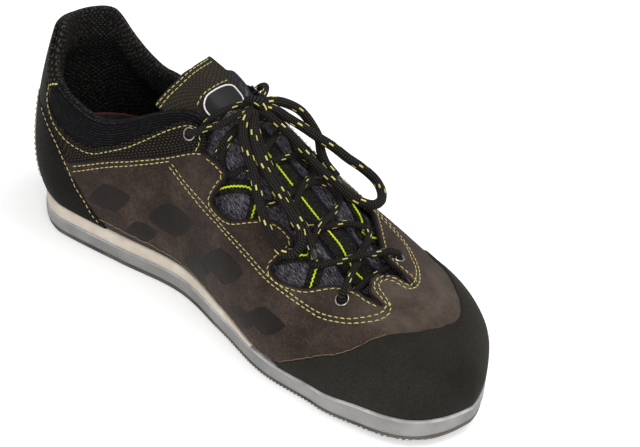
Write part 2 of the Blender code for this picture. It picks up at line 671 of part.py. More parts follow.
def make_eyelets(upper, panel):
    names = ("eyelet_medial_front", "eyelet_lateral_front", "eyelet_medial_rear", "eyelet_lateral_rear")
    base = EYELETS["layered"] * (GAP + OVERLAY)
    points, ways = at_across(EYELETS, base)
    for name, point, way, height in zip(names, points, ways, base):
        depth = height + WALL + 0.5
        make_eyelet(name, point, way, depth)
        drill(upper, name + "_hole", point, way, EYELET_BARREL + GAP, depth + 3)
        if height > 0:
            drill(panel, name + "_panel_hole", point, way, EYELET_BARREL + GAP, depth + 3)


def make_loop(name, rows):
    """A strip of webbing that lies on the tongue."""
    side = np.where(rows["across"] < 0, -1.0, 1.0)
    lift = tongue_top(rows["station"], side, 90 - np.abs(rows["across"])) + GAP + 0.1
    low, up = at_across(rows, lift)
    aside = np.cross(up, np.gradient(low, axis=0))
    aside *= WEBBING / 2 / np.linalg.norm(aside, axis=1, keepdims=True)
    rise = up * WEBBING_THICK
    points = np.stack([low - aside, low + aside, low + aside + rise, low - aside + rise], 1).reshape(-1, 3)
    count = len(low)
    faces = [(4 * i + j, 4 * i + (j + 1) % 4, 4 * i + 4 + (j + 1) % 4, 4 * i + 4 + j)
             for i in range(count - 1) for j in range(4)]
    faces += [(0, 1, 2, 3), tuple(4 * count - 4 + j for j in range(4))]
    return solid(name, points, faces, (0.012, 0.012, 0.013), 0.8)


def cord(name, points):
    """A round cord along a route."""
    data = bpy.data.curves.new(name, "CURVE")
    data.dimensions = "3D"
    data.bevel_depth = LACE / 2 * MM
    data.bevel_resolution = 2
    data.use_fill_caps = True
    line = data.splines.new("POLY")
    line.points.add(len(points) - 1)
    for knot, point in zip(line.points, points):
        knot.co = (*(point * MM), 1)
    return add_object(name, data, (0.012, 0.012, 0.013), 0.75)


def route(rows):
    return at_across(rows, rows["lift"])[0]


def make_knot():
    """A turn of the cord over the strand that joins the two rear eyelets."""
    centre, up = (value[0] for value in at_across(KNOT, np.interp(0.5, TOP_STRAND["across"], TOP_STRAND["lift"])))
    along = np.cross((0, 1, 0), up)
    along /= np.linalg.norm(along)
    turn = np.radians(np.linspace(-105, 105, 9))[:, None]
    cord("lace_knot", centre + (LACE + 2 * GAP) * (np.cos(turn) * up + np.sin(turn) * along))


def as_mesh(name, rows):
    """A cord as a closed mesh, for joining."""
    curve = cord(name + "_line", route(rows))
    mesh = bpy.data.meshes.new_from_object(curve.evaluated_get(bpy.context.evaluated_depsgraph_get()))
    bpy.data.objects.remove(curve, do_unlink=True)
    build = bmesh.new()
    build.from_mesh(mesh)
    bmesh.ops.remove_doubles(build, verts=build.verts, dist=1e-6)
    bmesh.ops.recalc_face_normals(build, faces=build.faces)
    build.to_mesh(mesh)
    build.free()
    mesh.materials.clear()
    return mesh


def make_crossings():
    name = "lace_crossings"
    made = add_object(name, as_mesh(name, STRANDS[0]), (0.012, 0.012, 0.013), 0.75)
    other = bpy.data.objects.new("lace_strand", as_mesh("lace_strand", STRANDS[1]))
    CUTTERS.objects.link(other)
    other.parent = ROOT
    other.hide_render = True
    other.display_type = "WIRE"
    join = made.modifiers.new("join", "BOOLEAN")
    join.operation = "UNION"
    join.solver = "EXACT"
    join.object = other


# The scene


def clear_scene():
    for old in list(bpy.data.objects):
        bpy.data.objects.remove(old, do_unlink=True)


def collection(name):
    made = bpy.data.collections.new(name)
    bpy.context.scene.collection.children.link(made)
    return made


clear_scene()
PARTS = collection("shooting_shoe")
CUTTERS = collection("cutters")
CUTTERS.hide_render = True
ROOT = bpy.data.objects.new("shoe_root", None)
PARTS.objects.link(ROOT)
ROOT.location = (SHIFT[0] * MM, SHIFT[1] * MM, 0)

make_outsole()
make_midsole()
make_wedge()
make_insole()
UPPER = make_upper()
make_toe_cap()
make_counter()
COLLAR_PANEL = make_collar_panel()
make_tongue()
make_tongue_patch()
make_tongue_strap()
make_eyelets(UPPER, COLLAR_PANEL)
for loop, rows in LOOPS.items():
    make_loop("webbing_loop_" + loop, rows)
make_crossings()
cord("lace_bar", route(BAR))
cord("lace_top_bar", route(TOP_STRAND))
make_knot()
for name, rows in BOW.items():
    cord(name, route(rows))
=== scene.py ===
"""Looks of the left shooting shoe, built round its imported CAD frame. Sizes are in millimetres."""

import math

import bpy
import numpy as np
from mathutils import Matrix, Vector
from mathutils.kdtree import KDTree


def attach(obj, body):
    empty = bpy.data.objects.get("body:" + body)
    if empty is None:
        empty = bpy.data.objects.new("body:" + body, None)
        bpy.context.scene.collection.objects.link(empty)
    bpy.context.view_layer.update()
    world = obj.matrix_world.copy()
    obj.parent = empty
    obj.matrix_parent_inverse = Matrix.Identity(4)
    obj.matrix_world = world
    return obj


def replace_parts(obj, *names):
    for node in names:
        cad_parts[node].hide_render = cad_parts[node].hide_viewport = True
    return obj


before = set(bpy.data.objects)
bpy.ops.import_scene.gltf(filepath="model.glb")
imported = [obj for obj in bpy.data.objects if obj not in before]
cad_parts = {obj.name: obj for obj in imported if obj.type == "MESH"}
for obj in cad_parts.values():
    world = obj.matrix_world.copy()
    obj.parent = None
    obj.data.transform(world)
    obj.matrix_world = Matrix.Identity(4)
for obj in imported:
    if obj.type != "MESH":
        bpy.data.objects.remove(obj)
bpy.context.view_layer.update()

MM = 0.001
SHIFT = np.array((1.04, -5.33, 0.0))
SIDES = {-1: "medial", 1: "lateral"}
# Stations of the ends, and of the places where the sections start to turn round the heel and the toe
HEEL_END, HEEL_TURN, TOE_TURN, TOE_END = -145.0, -104.0, 85.0, 145.0
OUTSOLE, MIDSOLE_TOP, WEDGE_FRONT = 2.5, 9.6, 40.0
TOE_SPRING, SPRING_START, HEEL_LIFT, HEEL_LIFT_START = 5.0, 70.0, 2.0, -132.0
LEDGE_HEEL, LEDGE_TOE, LEDGE_START, LEDGE_RUN = 1.4, 2.6, 50.0, 60.0
TREAD_PITCH, TREAD_DEPTH, TREAD_BACK, TREAD_FRONT, LIP = 2.2, 1.2, 2, 132, 0.9
# How far the outsole's foot is tucked in under its edge, and how much more at the heel
OUTSOLE_TUCK, HEEL_TUCK = 0.8, 2.0
VAMP_SLOPE, SLANT, SLANT_GIRTH = 0.18, 0.4, 45.0
WALL, COLLAR_PAD, COLLAR_SWELL = 2.0, 6.5, 2.6
# Outside and inside of the upper's layers, as lifts from the last
WALL_TOP, NUBUCK_TOP, NUBUCK_BASE, PANEL_TOP, PANEL_BASE = -0.75, 0.3, -0.7, 0.95, -0.6
CAP_TOP, COUNTER_TOP, COVER_BASE = 1.05, 1.25, -0.5
# Stations of the ribbed band's ends and of the front of the leather on the heel's rim, and the band's puff
RIBBED_FRONT, RIBBED_BACK, HEEL_RIM_FRONT = -22, -132, -113
PUFF_EDGE, PUFF_SWELL, PUFF_RUN = 1.0, 1.3, 12
# Ends of the nubuck's lap on the panel, its height, and the panel's insets in degrees under its neighbours
LAP_BACK, LAP_FRONT, LAP = -101, -20.6, 0.95
UNDER_COUNTER, UNDER_NUBUCK, UNDER_RIM = 2.5, 1.6, 1.5
# Stations where the panel leaves the heel tab and where it ends, and where the counter and the toe cap start
TAB_FRONT, PANEL_FRONT, COUNTER_FRONT, CAP_STARTS = -120.5, -19.8, -74.5, {-1: 58.5, 1: 50.0}
# Lifts of the stitched rows
PANEL_THREAD, COUNTER_THREAD, LAP_THREAD, NUBUCK_THREAD = 1.05, 1.35, 1.32, 0.38
TONGUE, TONGUE_TOP, TONGUE_DROP = 3.2, 1.6, 5.0
# Swell of the tongue along its middle, at its top and in its lateral wing, its dip in front and its flare
TONGUE_CROWN, TONGUE_PUFF, TONGUE_WING, TONGUE_DIP, TONGUE_FLARE = 1.4, 2.4, 3.2, 3.0, 6.0
LACE, TAUT, WEBBING, LACE_STEP, LACE_SIDES = 4.8, 3.5, 7.0, 0.7, 14
EYELET_HOLE, EYELET_BARREL, EYELET_FLANGE, EYELET_ROLL = 2.4, 2.8, 3.6, 0.75

RNG = np.random.default_rng(7)


def table(columns, *rows):
    """A table as a dictionary of named columns."""
    return dict(zip(columns.split(), np.array(rows, float).T))


# Half-sections of the last, as in the CAD source
SECTIONS = table(
    "station turn spine_x spine_y reach_m reach_l feather ridge full_m full_l lift bulge_m bulge_l bulge_at",
    (-145, 180, -104, 0.0, 36.5, 36.5, 18.5, 150, 2.7, 2.7, 2.6, 6.0, 6.0, 36),
    (-132, 140, -104, 0.0, 34.5, 35.5, 17.5, 145, 2.7, 2.7, 2.6, 7.0, 5.5, 36),
    (-104, 90, -104, 0.0, 34.0, 34.5, 16.4, 130, 2.6, 2.6, 2.5, 6.2, 4.5, 36),
    (-65, 90, -65, 0.5, 31.0, 37.0, 16.2, 116, 2.5, 2.5, 2.4, 5.2, 3.0, 34),
    (-25, 90, -25, 0.5, 27.0, 40.5, 15.2, 104, 2.5, 2.3, 2.2, 5.0, 2.5, 34),
    (15, 90, 15, -1.0, 35.5, 51.0, 13.1, 83, 2.3, 2.1, 2.1, 4.0, 2.5, 26),
    (50, 90, 50, -4.0, 42.0, 61.0, 10.3, 67, 2.3, 2.1, 2.1, 2.5, 2.5, 18),
    (85, 90, 85, -7.0, 39.0, 60.0, 10.3, 56, 2.4, 2.3, 2.1, 2.5, 2.5, 15),
    (105, 60, 85, -7.0, 42.5, 54.5, 12.4, 56, 2.5, 2.2, 2.1, 2.5, 2.5, 14),
    (125, 30, 85, -7.0, 54.5, 52.0, 13.8, 56, 2.6, 2.3, 2.2, 2.5, 2.5, 13),
    (145, 0, 85, -7.0, 57.5, 57.5, 13.8, 56, 2.6, 2.6, 2.3, 2.5, 2.5, 13),
)
# Height of the collar's rim, which dips lower behind the ankle bone on the lateral side
COLLAR = table(
    "station height",
    (-145, 108.8), (-139, 109.6), (-133, 108.6), (-129, 104.4), (-124, 96.8), (-118, 90.4), (-111, 86.5),
    (-104, 83), (-96, 80.3), (-88, 78.2), (-80, 78.2), (-72, 80.5), (-65, 84), (-58, 88), (-50.5, 92.4),
    (-43.5, 96.4), (-37.3, 99), (-30.8, 99.2),
)
LATERAL_DIP, DIP_AT, DIP_RUN = 5.6, -109.0, 11.5
# Girth angle of the throat's free edge, ahead of the collar
THROAT = table(
    "place medial lateral",
    (-30.8, 66.2, 68.0), (-28.0, 64.0, 67.2), (-25.2, 60.6, 66.0), (-23.0, 56.6, 64.5), (-21.9, 52.3, 63.0),
    (-20.6, 50.2, 62.0), (-18.4, 51.3, 62.0), (-12.5, 53.2, 63.0), (-8.5, 54.0, 64.0), (-6.5, 53.8, 64.2),
    (-5.3, 52.4, 63.8), (-4.6, 49.5, 62.6), (-4.1, 45.0, 61.0), (-3.6, 40.6, 59.4), (-3.0, 38.0, 58.2),
    (-1.6, 36.4, 57.5), (3.8, 36.8, 57.2), (9.0, 38.5, 58.0), (12.6, 41.8, 60.0), (16.4, 48.5, 64.0),
    (19.7, 55.0, 68.0), (24.1, 61.8, 70.5), (29.1, 64.3, 68.5), (34.8, 64.8, 63.6), (38.1, 62.9, 61.8),
    (39.7, 60.3, 61.4), (40.5, 57.0, 61.3), (41.0, 52.5, 61.3), (41.4, 48.0, 61.4), (41.9, 44.6, 61.6),
    (43.0, 42.3, 62.6), (45.5, 41.6, 66.0), (49.5, 41.8, 71.2), (54.3, 44.4, 77.0), (57.5, 46.8, 80.0),
    (60.3, 49.8, 81.6), (61.9, 54.0, 82.0), (63.2, 59.0, 82.2), (65.8, 66.3, 82.3), (69.8, 69.8, 82.3),
    (73.1, 72.2, 82.2),
)
# The rest of the throat's edge up to the ridge, round the notches and the tab between them
TAB = table(
    "medial_girth medial_station lateral_girth lateral_station",
    (72.8, 110, 77.6, 117), (75.2, 99, 80.6, 118), (78.0, 89, 83.4, 108), (82.4, 83, 86.4, 90),
    (90, 81.5, 90, 82),
)
TOE_CAP = table(
    "station medial lateral",
    (50, 0, 2), (58.5, 2, 18), (66, 7.5, 33), (73.2, 13, 42.5), (80, 19, 47.8), (86, 24.5, 48.6),
    (91.2, 28.7, 49.2), (97.8, 35.3, 50), (103, 42.5, 50.2), (108.8, 49.5, 49.6), (115, 55.5, 48.8),
    (121.8, 59.6, 48.6), (132.5, 61.4, 52.6), (139.2, 61.2, 57.2), (145, 60, 60),
)
COUNTER = table(
    "station height",
    (-145, 71), (-124, 70), (-119.5, 68.6), (-114, 64.8), (-107.8, 58.8), (-98.8, 45.8), (-92, 36.8),
    (-85.8, 28.4), (-79, 20.2), (-75.5, 17.4),
)
PANEL = table(
    "station low high lateral",
    (-119.5, 20.8, 27.5, 0), (-113.2, 19.4, 22.8, 0), (-107.8, 17.8, 21.4, 0), (-104, 15.4, 20.8, 0),
    (-98.8, 12.2, 20.2, 0), (-96, 12.2, 20.0, 0), (-89.8, 14.0, 20.1, 0.2), (-81.8, 16.7, 21.6, 0.6),
    (-71.2, 20.6, 25.8, 1.4), (-60.2, 24.8, 32.7, 2.6), (-47.5, 30.6, 42.5, 4.6), (-38.8, 35.2, 51.4, 6.5),
    (-33.2, 38.8, 55.9, 7.2), (-26.8, 43.6, 58.6, 7.5), (-22, 47.4, 58.0, 7.5), (-19.8, 48.8, 55.5, 7.5),
)
TONGUE_EDGE = table(
    "station medial lateral",
    (-53, 56, 59), (-45, 54.5, 58), (-36, 50, 56), (-25, 42, 52), (-12, 33, 47), (20, 31, 47), (55, 34, 52),
    (72, 44, 60), (85, 54, 66), (115, 64, 68), (145, 68, 68),
)
TONGUE_RIM = table(
    "angle station",
    (-40, -56), (-31, -53), (-20, -50), (-4, -49), (12, -53), (14.5, -42), (20, -42), (31, -40.5), (40, -36),
)
# Station, angle from the ridge (negative on the medial side) and lift of the eyelets
EYELETS = {
    "medial_front": (80, -30.2, NUBUCK_TOP), "lateral_front": (78.5, 13.2, NUBUCK_TOP),
    "medial_rear": (-30, -38.8, PANEL_TOP), "lateral_rear": (-30, 28, PANEL_TOP),
}
# Stations and angles of the webbing loops
LOOPS = {
    "medial_rear": (
        (-9, -51), (-3, -44), (4, -36), (10.5, -29.5), (14, -28.5), (16.5, -30.5), (17.5, -35), (18.2, -40),
        (19, -46),
    ),
    "medial_front": (
        (38, -45), (43, -38), (49, -30), (54, -24), (57, -22.5), (59.3, -24.5), (60.8, -30), (62, -36),
        (63.2, -42),
    ),
    "lateral_rear": (
        (-7, 32), (-1, 27), (5, 21.5), (10, 17), (13.2, 15.5), (16, 17), (18, 21.5), (19.2, 26.5), (20, 32),
    ),
    "lateral_front": (
        (36, 29), (41, 24.5), (47, 21.5), (52, 18), (56, 13.2), (58.7, 11.8), (61, 14), (62.3, 19), (63, 25),
    ),
}


# The last


def smooth(keys, values, at):
    """Cubic through the rows of a column, with each slope taken from the rows on both sides."""
    step = np.diff(keys)
    rise = np.diff(values) / step
    slope = np.empty_like(values)
    slope[1:-1] = (rise[:-1] * step[1:] + rise[1:] * step[:-1]) / (step[:-1] + step[1:])
    slope[0], slope[-1] = rise[0], rise[-1]
    at = np.clip(np.asarray(at, float), keys[0], keys[-1])
    i = np.clip(np.searchsorted(keys, at, side="right") - 1, 0, len(keys) - 2)
    t = (at - keys[i]) / step[i]
    a, b = values[i], values[i + 1]
    m, n = slope[i] * step[i], slope[i + 1] * step[i]
    return a + t * (m + t * (3 * (b - a) - 2 * m - n + t * (m + n - 2 * (b - a))))


def ease(value):
    value = np.clip(value, 0, 1)
    return value * value * (3 - 2 * value)


def unit(vectors):
    return vectors / np.linalg.norm(vectors, axis=-1, keepdims=True)


def section(name, station):
    if name in ("turn", "spine_x"):
        return np.interp(station, SECTIONS["station"], SECTIONS[name])
    return smooth(SECTIONS["station"], SECTIONS[name], station)


def by_side(side, medial, lateral):
    return np.where(np.asarray(side) < 0, medial, lateral)


def half_section(name, station, side):
    return by_side(side, section(name + "_m", station), section(name + "_l", station))


def last_point(station, side, girth):
    """A point of the last: side is -1 medial or 1 lateral, girth is 0 at the sole and 90 on the ridge."""
    angle = np.radians(np.clip(girth, 0, 90))
    turn = np.radians(section("turn", station))
    reach, full, bulge = (half_section(name, station, side) for name in ("reach", "full", "bulge"))
    foot = section("feather", station)
    inward = np.clip(np.cos(angle), 0, 1) ** (2 / full)
    upward = np.clip(np.sin(angle), 0, 1) ** (2 / section("lift", station))
    ahead = np.clip(inward * reach * np.cos(turn), 0, None)
    height = (section("ridge", station) - foot - VAMP_SLOPE * ahead) * upward
    swell = height / section("bulge_at", station)
    out = inward * reach + bulge * swell * np.exp(1 - swell) * np.clip(inward * 4, 0, 1)
    x = section("spine_x", station) + out * np.cos(turn)
    y = section("spine_y", station) + side * out * np.sin(turn)
    return np.stack(np.broadcast_arrays(x, y, foot + height), -1)


def girth_at(station, height):
    """Girth angle of a height above the floor, on the sections that face sideways or back."""
    foot = section("feather", station)
    share = np.clip((height - foot) / (section("ridge", station) - foot), 0, 1)
    return np.degrees(np.arcsin(share ** (section("lift", station) / 2)))


def outward(station, side, girth, probe=0.4, lowest=0.9, highest=87.4, furthest=144.4):
    """Unit normal of the last, pointing out; level at the sole and square to the spine on the ridge."""
    low, high = (np.clip(girth + step, lowest + step, highest + step) for step in (-probe, probe))
    back, fore = (np.clip(station + step, step - furthest, step + furthest) for step in (-probe, probe))
    middle = (low + high) / 2
    along = last_point(fore, side, middle) - last_point(back, side, middle)
    up = last_point(station, side, high) - last_point(station, side, low)
    normal = unit(np.cross(along, up) * -np.asarray(side, float)[..., None])
    near = np.clip(station, HEEL_END + 5, TOE_TURN - 1)
    run = section("ridge", near + 1) - section("ridge", near - 1)
    slope = np.where(station > TOE_TURN, -VAMP_SLOPE, run / 2)
    crest = unit(np.stack([-slope, 0 * slope, 1 + 0 * slope], -1))
    share = np.clip((girth - 80) / 9, 0, 1)[..., None]
    normal = normal * (1 - share) + crest * share
    normal[..., 2] = np.where(girth < 0.5, 0, normal[..., 2])
    normal[..., 1] = np.where(np.abs(station) > TOE_END - 0.1, 0, normal[..., 1])
    return unit(normal)


def seam(station, side, girth, lift=0.0):
    """Points of the upper's outside, raised along their normals, and these outward ways."""
    places = (np.asarray(value, float) for value in (station, side, girth, lift))
    station, side, girth, lift = np.broadcast_arrays(*places)
    ways = outward(station, side, girth)
    return last_point(station, side, girth) + ways * lift[..., None], ways


def skin(station, side, girth, lift=0.0):
    return seam(station, side, girth, lift)[0]


def sided(angle):
    """Side and girth of an angle from the ridge, negative on the medial side."""
    angle = np.asarray(angle, float)
    return np.where(angle < 0, -1.0, 1.0), 90 - np.abs(angle)


def column(rows, name, station):
    return np.interp(station, rows["station"], rows[name])


def outline(station, side, push):
    """A point of the feather edge in plan, pushed out along its section."""
    turn = np.radians(section("turn", station))
    way = np.stack([np.cos(turn), side * np.sin(turn), 0 * turn], -1)
    push = np.broadcast_to(push, turn.shape)[:, None]
    return last_point(station, side, np.zeros_like(station)) + way * push


def ledge(station):
    return LEDGE_HEEL + (LEDGE_TOE - LEDGE_HEEL) * np.clip((station - LEDGE_START) / LEDGE_RUN, 0, 1)


def ground(station):
    toe = np.clip((station - SPRING_START) / (TOE_END - SPRING_START), 0, 1) ** 1.6
    heel = np.clip((HEEL_LIFT_START - station) / (HEEL_LIFT_START - HEEL_END), 0, 1) ** 2
    return TOE_SPRING * toe + HEEL_LIFT * heel


def midsole_top(station):
    return MIDSOLE_TOP + (section("feather", station) - MIDSOLE_TOP) * ease((station - WEDGE_FRONT) / 10)


# Materials

# Millimetres in one unit of the flat coordinates
FLAT = 100
YARN_PITCH, YARN_DASHES = 18.0, 6.0
# Station, height, half length, half width and turn of the printed lozenges
PRINT = (
    (-70, 23, 15, 8, 26), (-30, 28, 17, 9, 24), (12, 27, 17, 9, 22), (49, 21, 13, 7, 20),
    (-50, 11, 12, 6, 26), (-9, 13, 13, 6.5, 24), (32, 11.5, 12, 6, 22),
)


def rgba(level):
    """Linear colour of display values from 0 to 255, or the grey of a share."""
    if np.ndim(level) == 0:
        return (level, level, level, 1)
    share = np.array(level) / 255
    return (*np.where(share <= 0.04045, share / 12.92, ((share + 0.055) / 1.055) ** 2.4), 1)


class Field:
    """An output of a material's nodes; sums and products of fields make new nodes."""

    def __init__(self, finish, socket):
        self.finish, self.socket = finish, socket

    def math(self, operation, *others):
        return self.finish.node("Math", dict(enumerate((self, *others))), operation=operation)

    def __add__(self, other):
        return self.math("ADD", other)

    def __sub__(self, other):
        return self.math("SUBTRACT", other)

    def __mul__(self, other):
        return self.math("MULTIPLY", other)

    def __abs__(self):
        return self.math("ABSOLUTE")

    def wave(self, pitch):
        return (self * (2 * math.pi * FLAT / pitch)).math("SINE")

    def ranged(self, low, high):
        """The share of the way from low to high."""
        return self.finish.node("MapRange", {"Value": self, "From Min": low, "From Max": high})

    def ramp(self, *stops):
        """The field through stops of (place, level), a level being a share or a colour from 0 to 255."""
        made = self.finish.node("ValToRGB", {0: self})
        elements = made.socket.node.color_ramp.elements
        while len(elements) < len(stops):
            elements.new(0.5)
        for element, (place, level) in zip(elements, stops):
            element.position, element.color = place, rgba(level)
        return made


class Finish:
    """A Principled material whose tone, roughness and bumps come from nodes."""

    def __init__(self, name, roughness, specular=0.5, **constants):
        self.material = bpy.data.materials.new(name)
        self.material.use_nodes = True
        self.tree = self.material.node_tree
        self.shader = self.tree.nodes["Principled BSDF"].inputs
        constants = {"Roughness": roughness, "Specular_IOR_Level": specular, **constants}
        for socket, value in constants.items():
            self.shader[socket.replace("_", " ")].default_value = value
        coords = self.tree.nodes.new("ShaderNodeTexCoord").outputs
        self.coords = {name: Field(self, coords[name]) for name in ("Object", "UV")}
        self.tone = None

    def feed(self, socket, value):
        if isinstance(value, Field):
            self.tree.links.new(value.socket, socket)
        else:
            socket.default_value = value

    def node(self, kind, inputs=(), output=0, **settings):
        made = self.tree.nodes.new("ShaderNode" + kind)
        for key, value in settings.items():
            setattr(made, key, value)
        for key, value in dict(inputs).items():
            self.feed(made.inputs[key], value)
        return Field(self, made.outputs[output])

    def stretched(self, scale, source="Object"):
        """Coordinates in metres, or flat ones, times a scale for each axis."""
        scale = scale if np.ndim(scale) else (scale,) * 3
        return self.node("Mapping", {"Vector": self.coords[source], "Scale": scale})

    def noise(self, scale, detail=3.0, source="Object", rough=0.55):
        inputs = {"Vector": self.stretched(scale, source), "Scale": 1.0, "Detail": detail, "Roughness": rough}
        return self.node("TexNoise", inputs)

    def value(self, name):
        return self.node("Attribute", output="Fac", attribute_name=name)

    def split(self, vector):
        sockets = self.node("SeparateXYZ", {0: vector}).socket.node.outputs
        return [Field(self, sockets[k]) for k in range(2)]

    def flat(self):
        """The two flat coordinates."""
        return self.split(self.coords["UV"])

    def lattice(self, pitch, stretch=1.0):
        """Bumps on a hexagonal net over the flat coordinates, from 0 to 1."""
        along, over = self.flat()
        waves = 2 * math.pi * FLAT / (pitch * math.sqrt(0.75))
        one, two, three = (
            (along * (waves * math.cos(turn) / stretch) + over * (waves * math.sin(turn))).math("COSINE")
            for turn in np.radians((30, 90, 150))
        )
        return (one + two + three).ranged(-1.5, 3.0)

    def coat(self, share, colour):
        """Lays a colour, or a field of colours, over the tone by a share."""
        first, second = (own if isinstance(own, Field) else rgba(own) for own in (self.tone, colour))
        self.tone = self.node("Mix", {0: share, 6: first, 7: second}, 2, data_type="RGBA")

    def rough(self, field, low, high):
        made = self.node("MapRange", {"Value": field, "To Min": low, "To Max": high})
        self.feed(self.shader["Roughness"], made)

    def done(self, *bumps):
        """The material with its tone and its bumps of (height, depth in metres), laid over each other."""
        below = {}
        for height, depth in bumps:
            inputs = {"Height": height, "Strength": 1.0, "Distance": depth}
            below = {"Normal": self.node("Bump", {**inputs, **below})}
        self.feed(self.shader["Normal"], below["Normal"])
        self.feed(self.shader["Base Color"], self.tone)
        return self.material


def printed(made):
    """Share of a dark printed design: two staggered rows of rounded lozenges."""
    marks = None
    for station, height, long, wide, turn in PRINT:
        inputs = {
            "Vector": made.coords["UV"], "Location": (station / FLAT, height / FLAT, 0),
            "Rotation": (0, 0, math.radians(turn)), "Scale": (long / FLAT, wide / FLAT, 1),
        }
        spot = made.split(made.node("Mapping", inputs, vector_type="TEXTURE"))
        one, two = (abs(reach).math("POWER", 1.3) for reach in spot)
        mark = (one + two).ramp((0.96, 1.0), (1.0, 0.0))
        marks = marks.math("MAXIMUM", mark) if marks else mark
    return marks


def nubuck():
    made = Finish("nubuck", 0.95, 0.06, Sheen_Weight=0.05, Sheen_Roughness=0.6)
    cloud, streak = made.noise(30, 4), made.noise((60, 60, 150), 4)
    nap, speck = made.noise(300, 4), made.noise(1100)
    marks = printed(made)
    made.tone = cloud.ramp((0.3, (35, 27, 23)), (0.5, (54, 43, 38)), (0.72, (78, 65, 57)))
    made.coat(streak.ramp((0.5, 0.0), (0.75, 0.4)), (84, 71, 61))
    made.coat(nap.ramp((0.3, 0.62), (0.7, 0.0)), (34, 26, 22))
    made.coat(speck.ramp((0.3, 0.55), (0.5, 0.0)), (30, 23, 20))
    made.coat(speck.ramp((0.55, 0.0), (0.8, 0.36)), (104, 90, 79))
    # Lighter brown clouds laid by the piece's mask; on the vamp this is a painted highlight.
    made.coat(made.value("tint_and_painted_light") * made.noise(90, 4).ramp((0.3, 0.04), (0.7, 0.34)), (112, 99, 87))
    made.coat(marks * 0.82, (17, 14, 12))
    made.coat(made.value("edge").ramp((0.05, 1.0), (0.16, 0.0)), (26, 20, 17))
    made.rough(marks, 0.95, 0.6)
    return made.done((cloud, 0.0012), (nap, 0.0002), (speck, 0.00006), (marks, 0.0001))


def leather():
    """Leather embossed with a net of small six-sided scales."""
    made = Finish("grained_leather", 0.65, 0.1)
    fine = made.noise(1300, 4)
    height = made.lattice(1.75, 1.35) * 0.75 + fine * 0.3
    made.tone = height.ramp((0.25, (5, 5, 4)), (0.5, (24, 21, 16)), (0.85, (72, 65, 51)))
    made.coat(made.noise(60).ramp((0.4, 0.0), (0.7, 0.2)), (36, 33, 28))
    made.coat(made.value("tint_and_painted_light") * 0.2, (78, 73, 62))
    made.rough(fine, 0.5, 0.8)
    return made.done((height, 0.0009))


def smooth_leather():
    made = Finish("smooth_leather", 0.65, 0.07)
    grain = made.node("TexVoronoi", {"Vector": made.stretched(1150), "Scale": 1.0}, "Distance")
    made.tone = made.noise(45).ramp((0.3, (10, 9, 7)), (0.7, (19, 17, 13)))
    made.rough(grain, 0.55, 0.75)
    return made.done((grain, 0.00025))


def rubber():
    made = Finish("matte_rubber", 0.75, 0.05)
    cloud, fine, dust = made.noise(26, 4), made.noise(1300, 4), made.noise(420)
    made.tone = cloud.ramp((0.3, (31, 30, 26)), (0.7, (46, 44, 39)))
    made.coat(fine.ramp((0.35, 0.5), (0.55, 0.0)), (14, 13, 11))
    made.coat(made.noise((40, 120, 120), 4).ramp((0.56, 0.0), (0.76, 0.4)), (46, 42, 34))
    made.coat(dust.ramp((0.6, 0.0), (0.8, 0.3)), (46, 42, 34))
    made.rough(cloud, 0.6, 0.8)
    return made.done((cloud, 0.0008), (dust, 0.0001), (fine, 0.00015))


def lining():
    """Spacer mesh with staggered rows of dimples."""
    made = Finish("lining_mesh", 0.95, 0.08)
    height = made.lattice(1.6) * 0.18 + made.noise(1000) * 0.82
    made.tone = height.ramp((0.32, (7, 7, 7)), (0.5, (23, 22, 21)), (0.72, (70, 68, 64)))
    return made.done((height, 0.0006))


def ribbed():
    made = Finish("ribbed_mesh", 0.9, 0.1)
    along, down = made.flat()
    height = (down.wave(1.35) * 0.8 + along.wave(0.9) * 0.25).ranged(-1.0, 1.0)
    # Painted highlight and shade: the ribs' crests are painted lighter and their grooves darker, and the
    # noise shows them only in scattered dashes, like glints.
    lit = height.ramp((0.1, (3, 3, 4)), (0.6, (10, 10, 12)), (0.95, (44, 44, 49)))
    made.tone = (6, 6, 7)
    made.coat(made.noise((45, 90, 1), 2, "UV").ramp((0.45, 0.25), (0.62, 1.0)), lit)
    return made.done((height, 0.0005))


def tongue_mesh():
    made = Finish("tongue_mesh", 0.9, 0.12)
    threads, knots = made.noise((30, 240, 1), 3, "UV", 0.7), made.noise((110, 150, 1), 2, "UV")
    made.tone = threads.ramp((0.36, (10, 10, 12)), (0.5, (50, 48, 54)), (0.66, (166, 161, 172)))
    made.coat(knots.ramp((0.5, 0.0), (0.66, 0.8)), (12, 12, 16))
    # Dark navy laid by the piece's mask: the satin bands, and the tongue's top, which is partly painted
    # shade.
    made.coat(made.value("tint_and_painted_light"), (19, 20, 29))
    return made.done((threads, 0.0006), (knots, 0.0004))


def webbing():
    """Plain woven strap."""
    made = Finish("webbing", 0.85, 0.12)
    along, over = made.flat()
    height = (over.wave(0.7) * along.wave(0.9)).ranged(-1.0, 1.0)
    made.tone = height.ramp((0.2, (9, 9, 8)), (0.9, (30, 29, 25)))
    made.coat(made.noise(1100, 2).ramp((0.5, 0.0), (0.68, 0.7)), (66, 62, 52))
    return made.done((height, 0.0003))


def braid():
    """Black braided cord with a yellow yarn wound round it in dashes; flat coordinates: length and turn."""
    made = Finish("braided_cord", 0.8, 0.12)
    along, turn = made.flat()
    wedge, groove = (abs((turn * count).math("FRACT") - 0.5) for count in (6.0, 12.0))
    plait = abs(((along * (FLAT / 1.2) + wedge * 1.1) * math.pi).math("SINE"))
    # The plait's crests are painted lighter, a painted highlight on the black cord, and the lines between its
    # strands darker, a painted shade.
    height = plait * groove.ramp((0.2, 1.0), (0.5, 0.3))
    made.tone = height.ramp((0.15, (2, 2, 2)), (0.55, (13, 12, 11)), (0.95, (58, 55, 50)))
    strip = turn * YARN_DASHES
    wound = (along * (FLAT / YARN_PITCH) + strip.math("FLOOR") * (1 / YARN_DASHES)).math("FRACT")
    dash = wound.math("LESS_THAN", 0.15) * strip.math("FRACT").math("COMPARE", 0.5, 0.16)
    made.coat(dash, (202, 192, 110))
    return made.done((height, 0.0003))


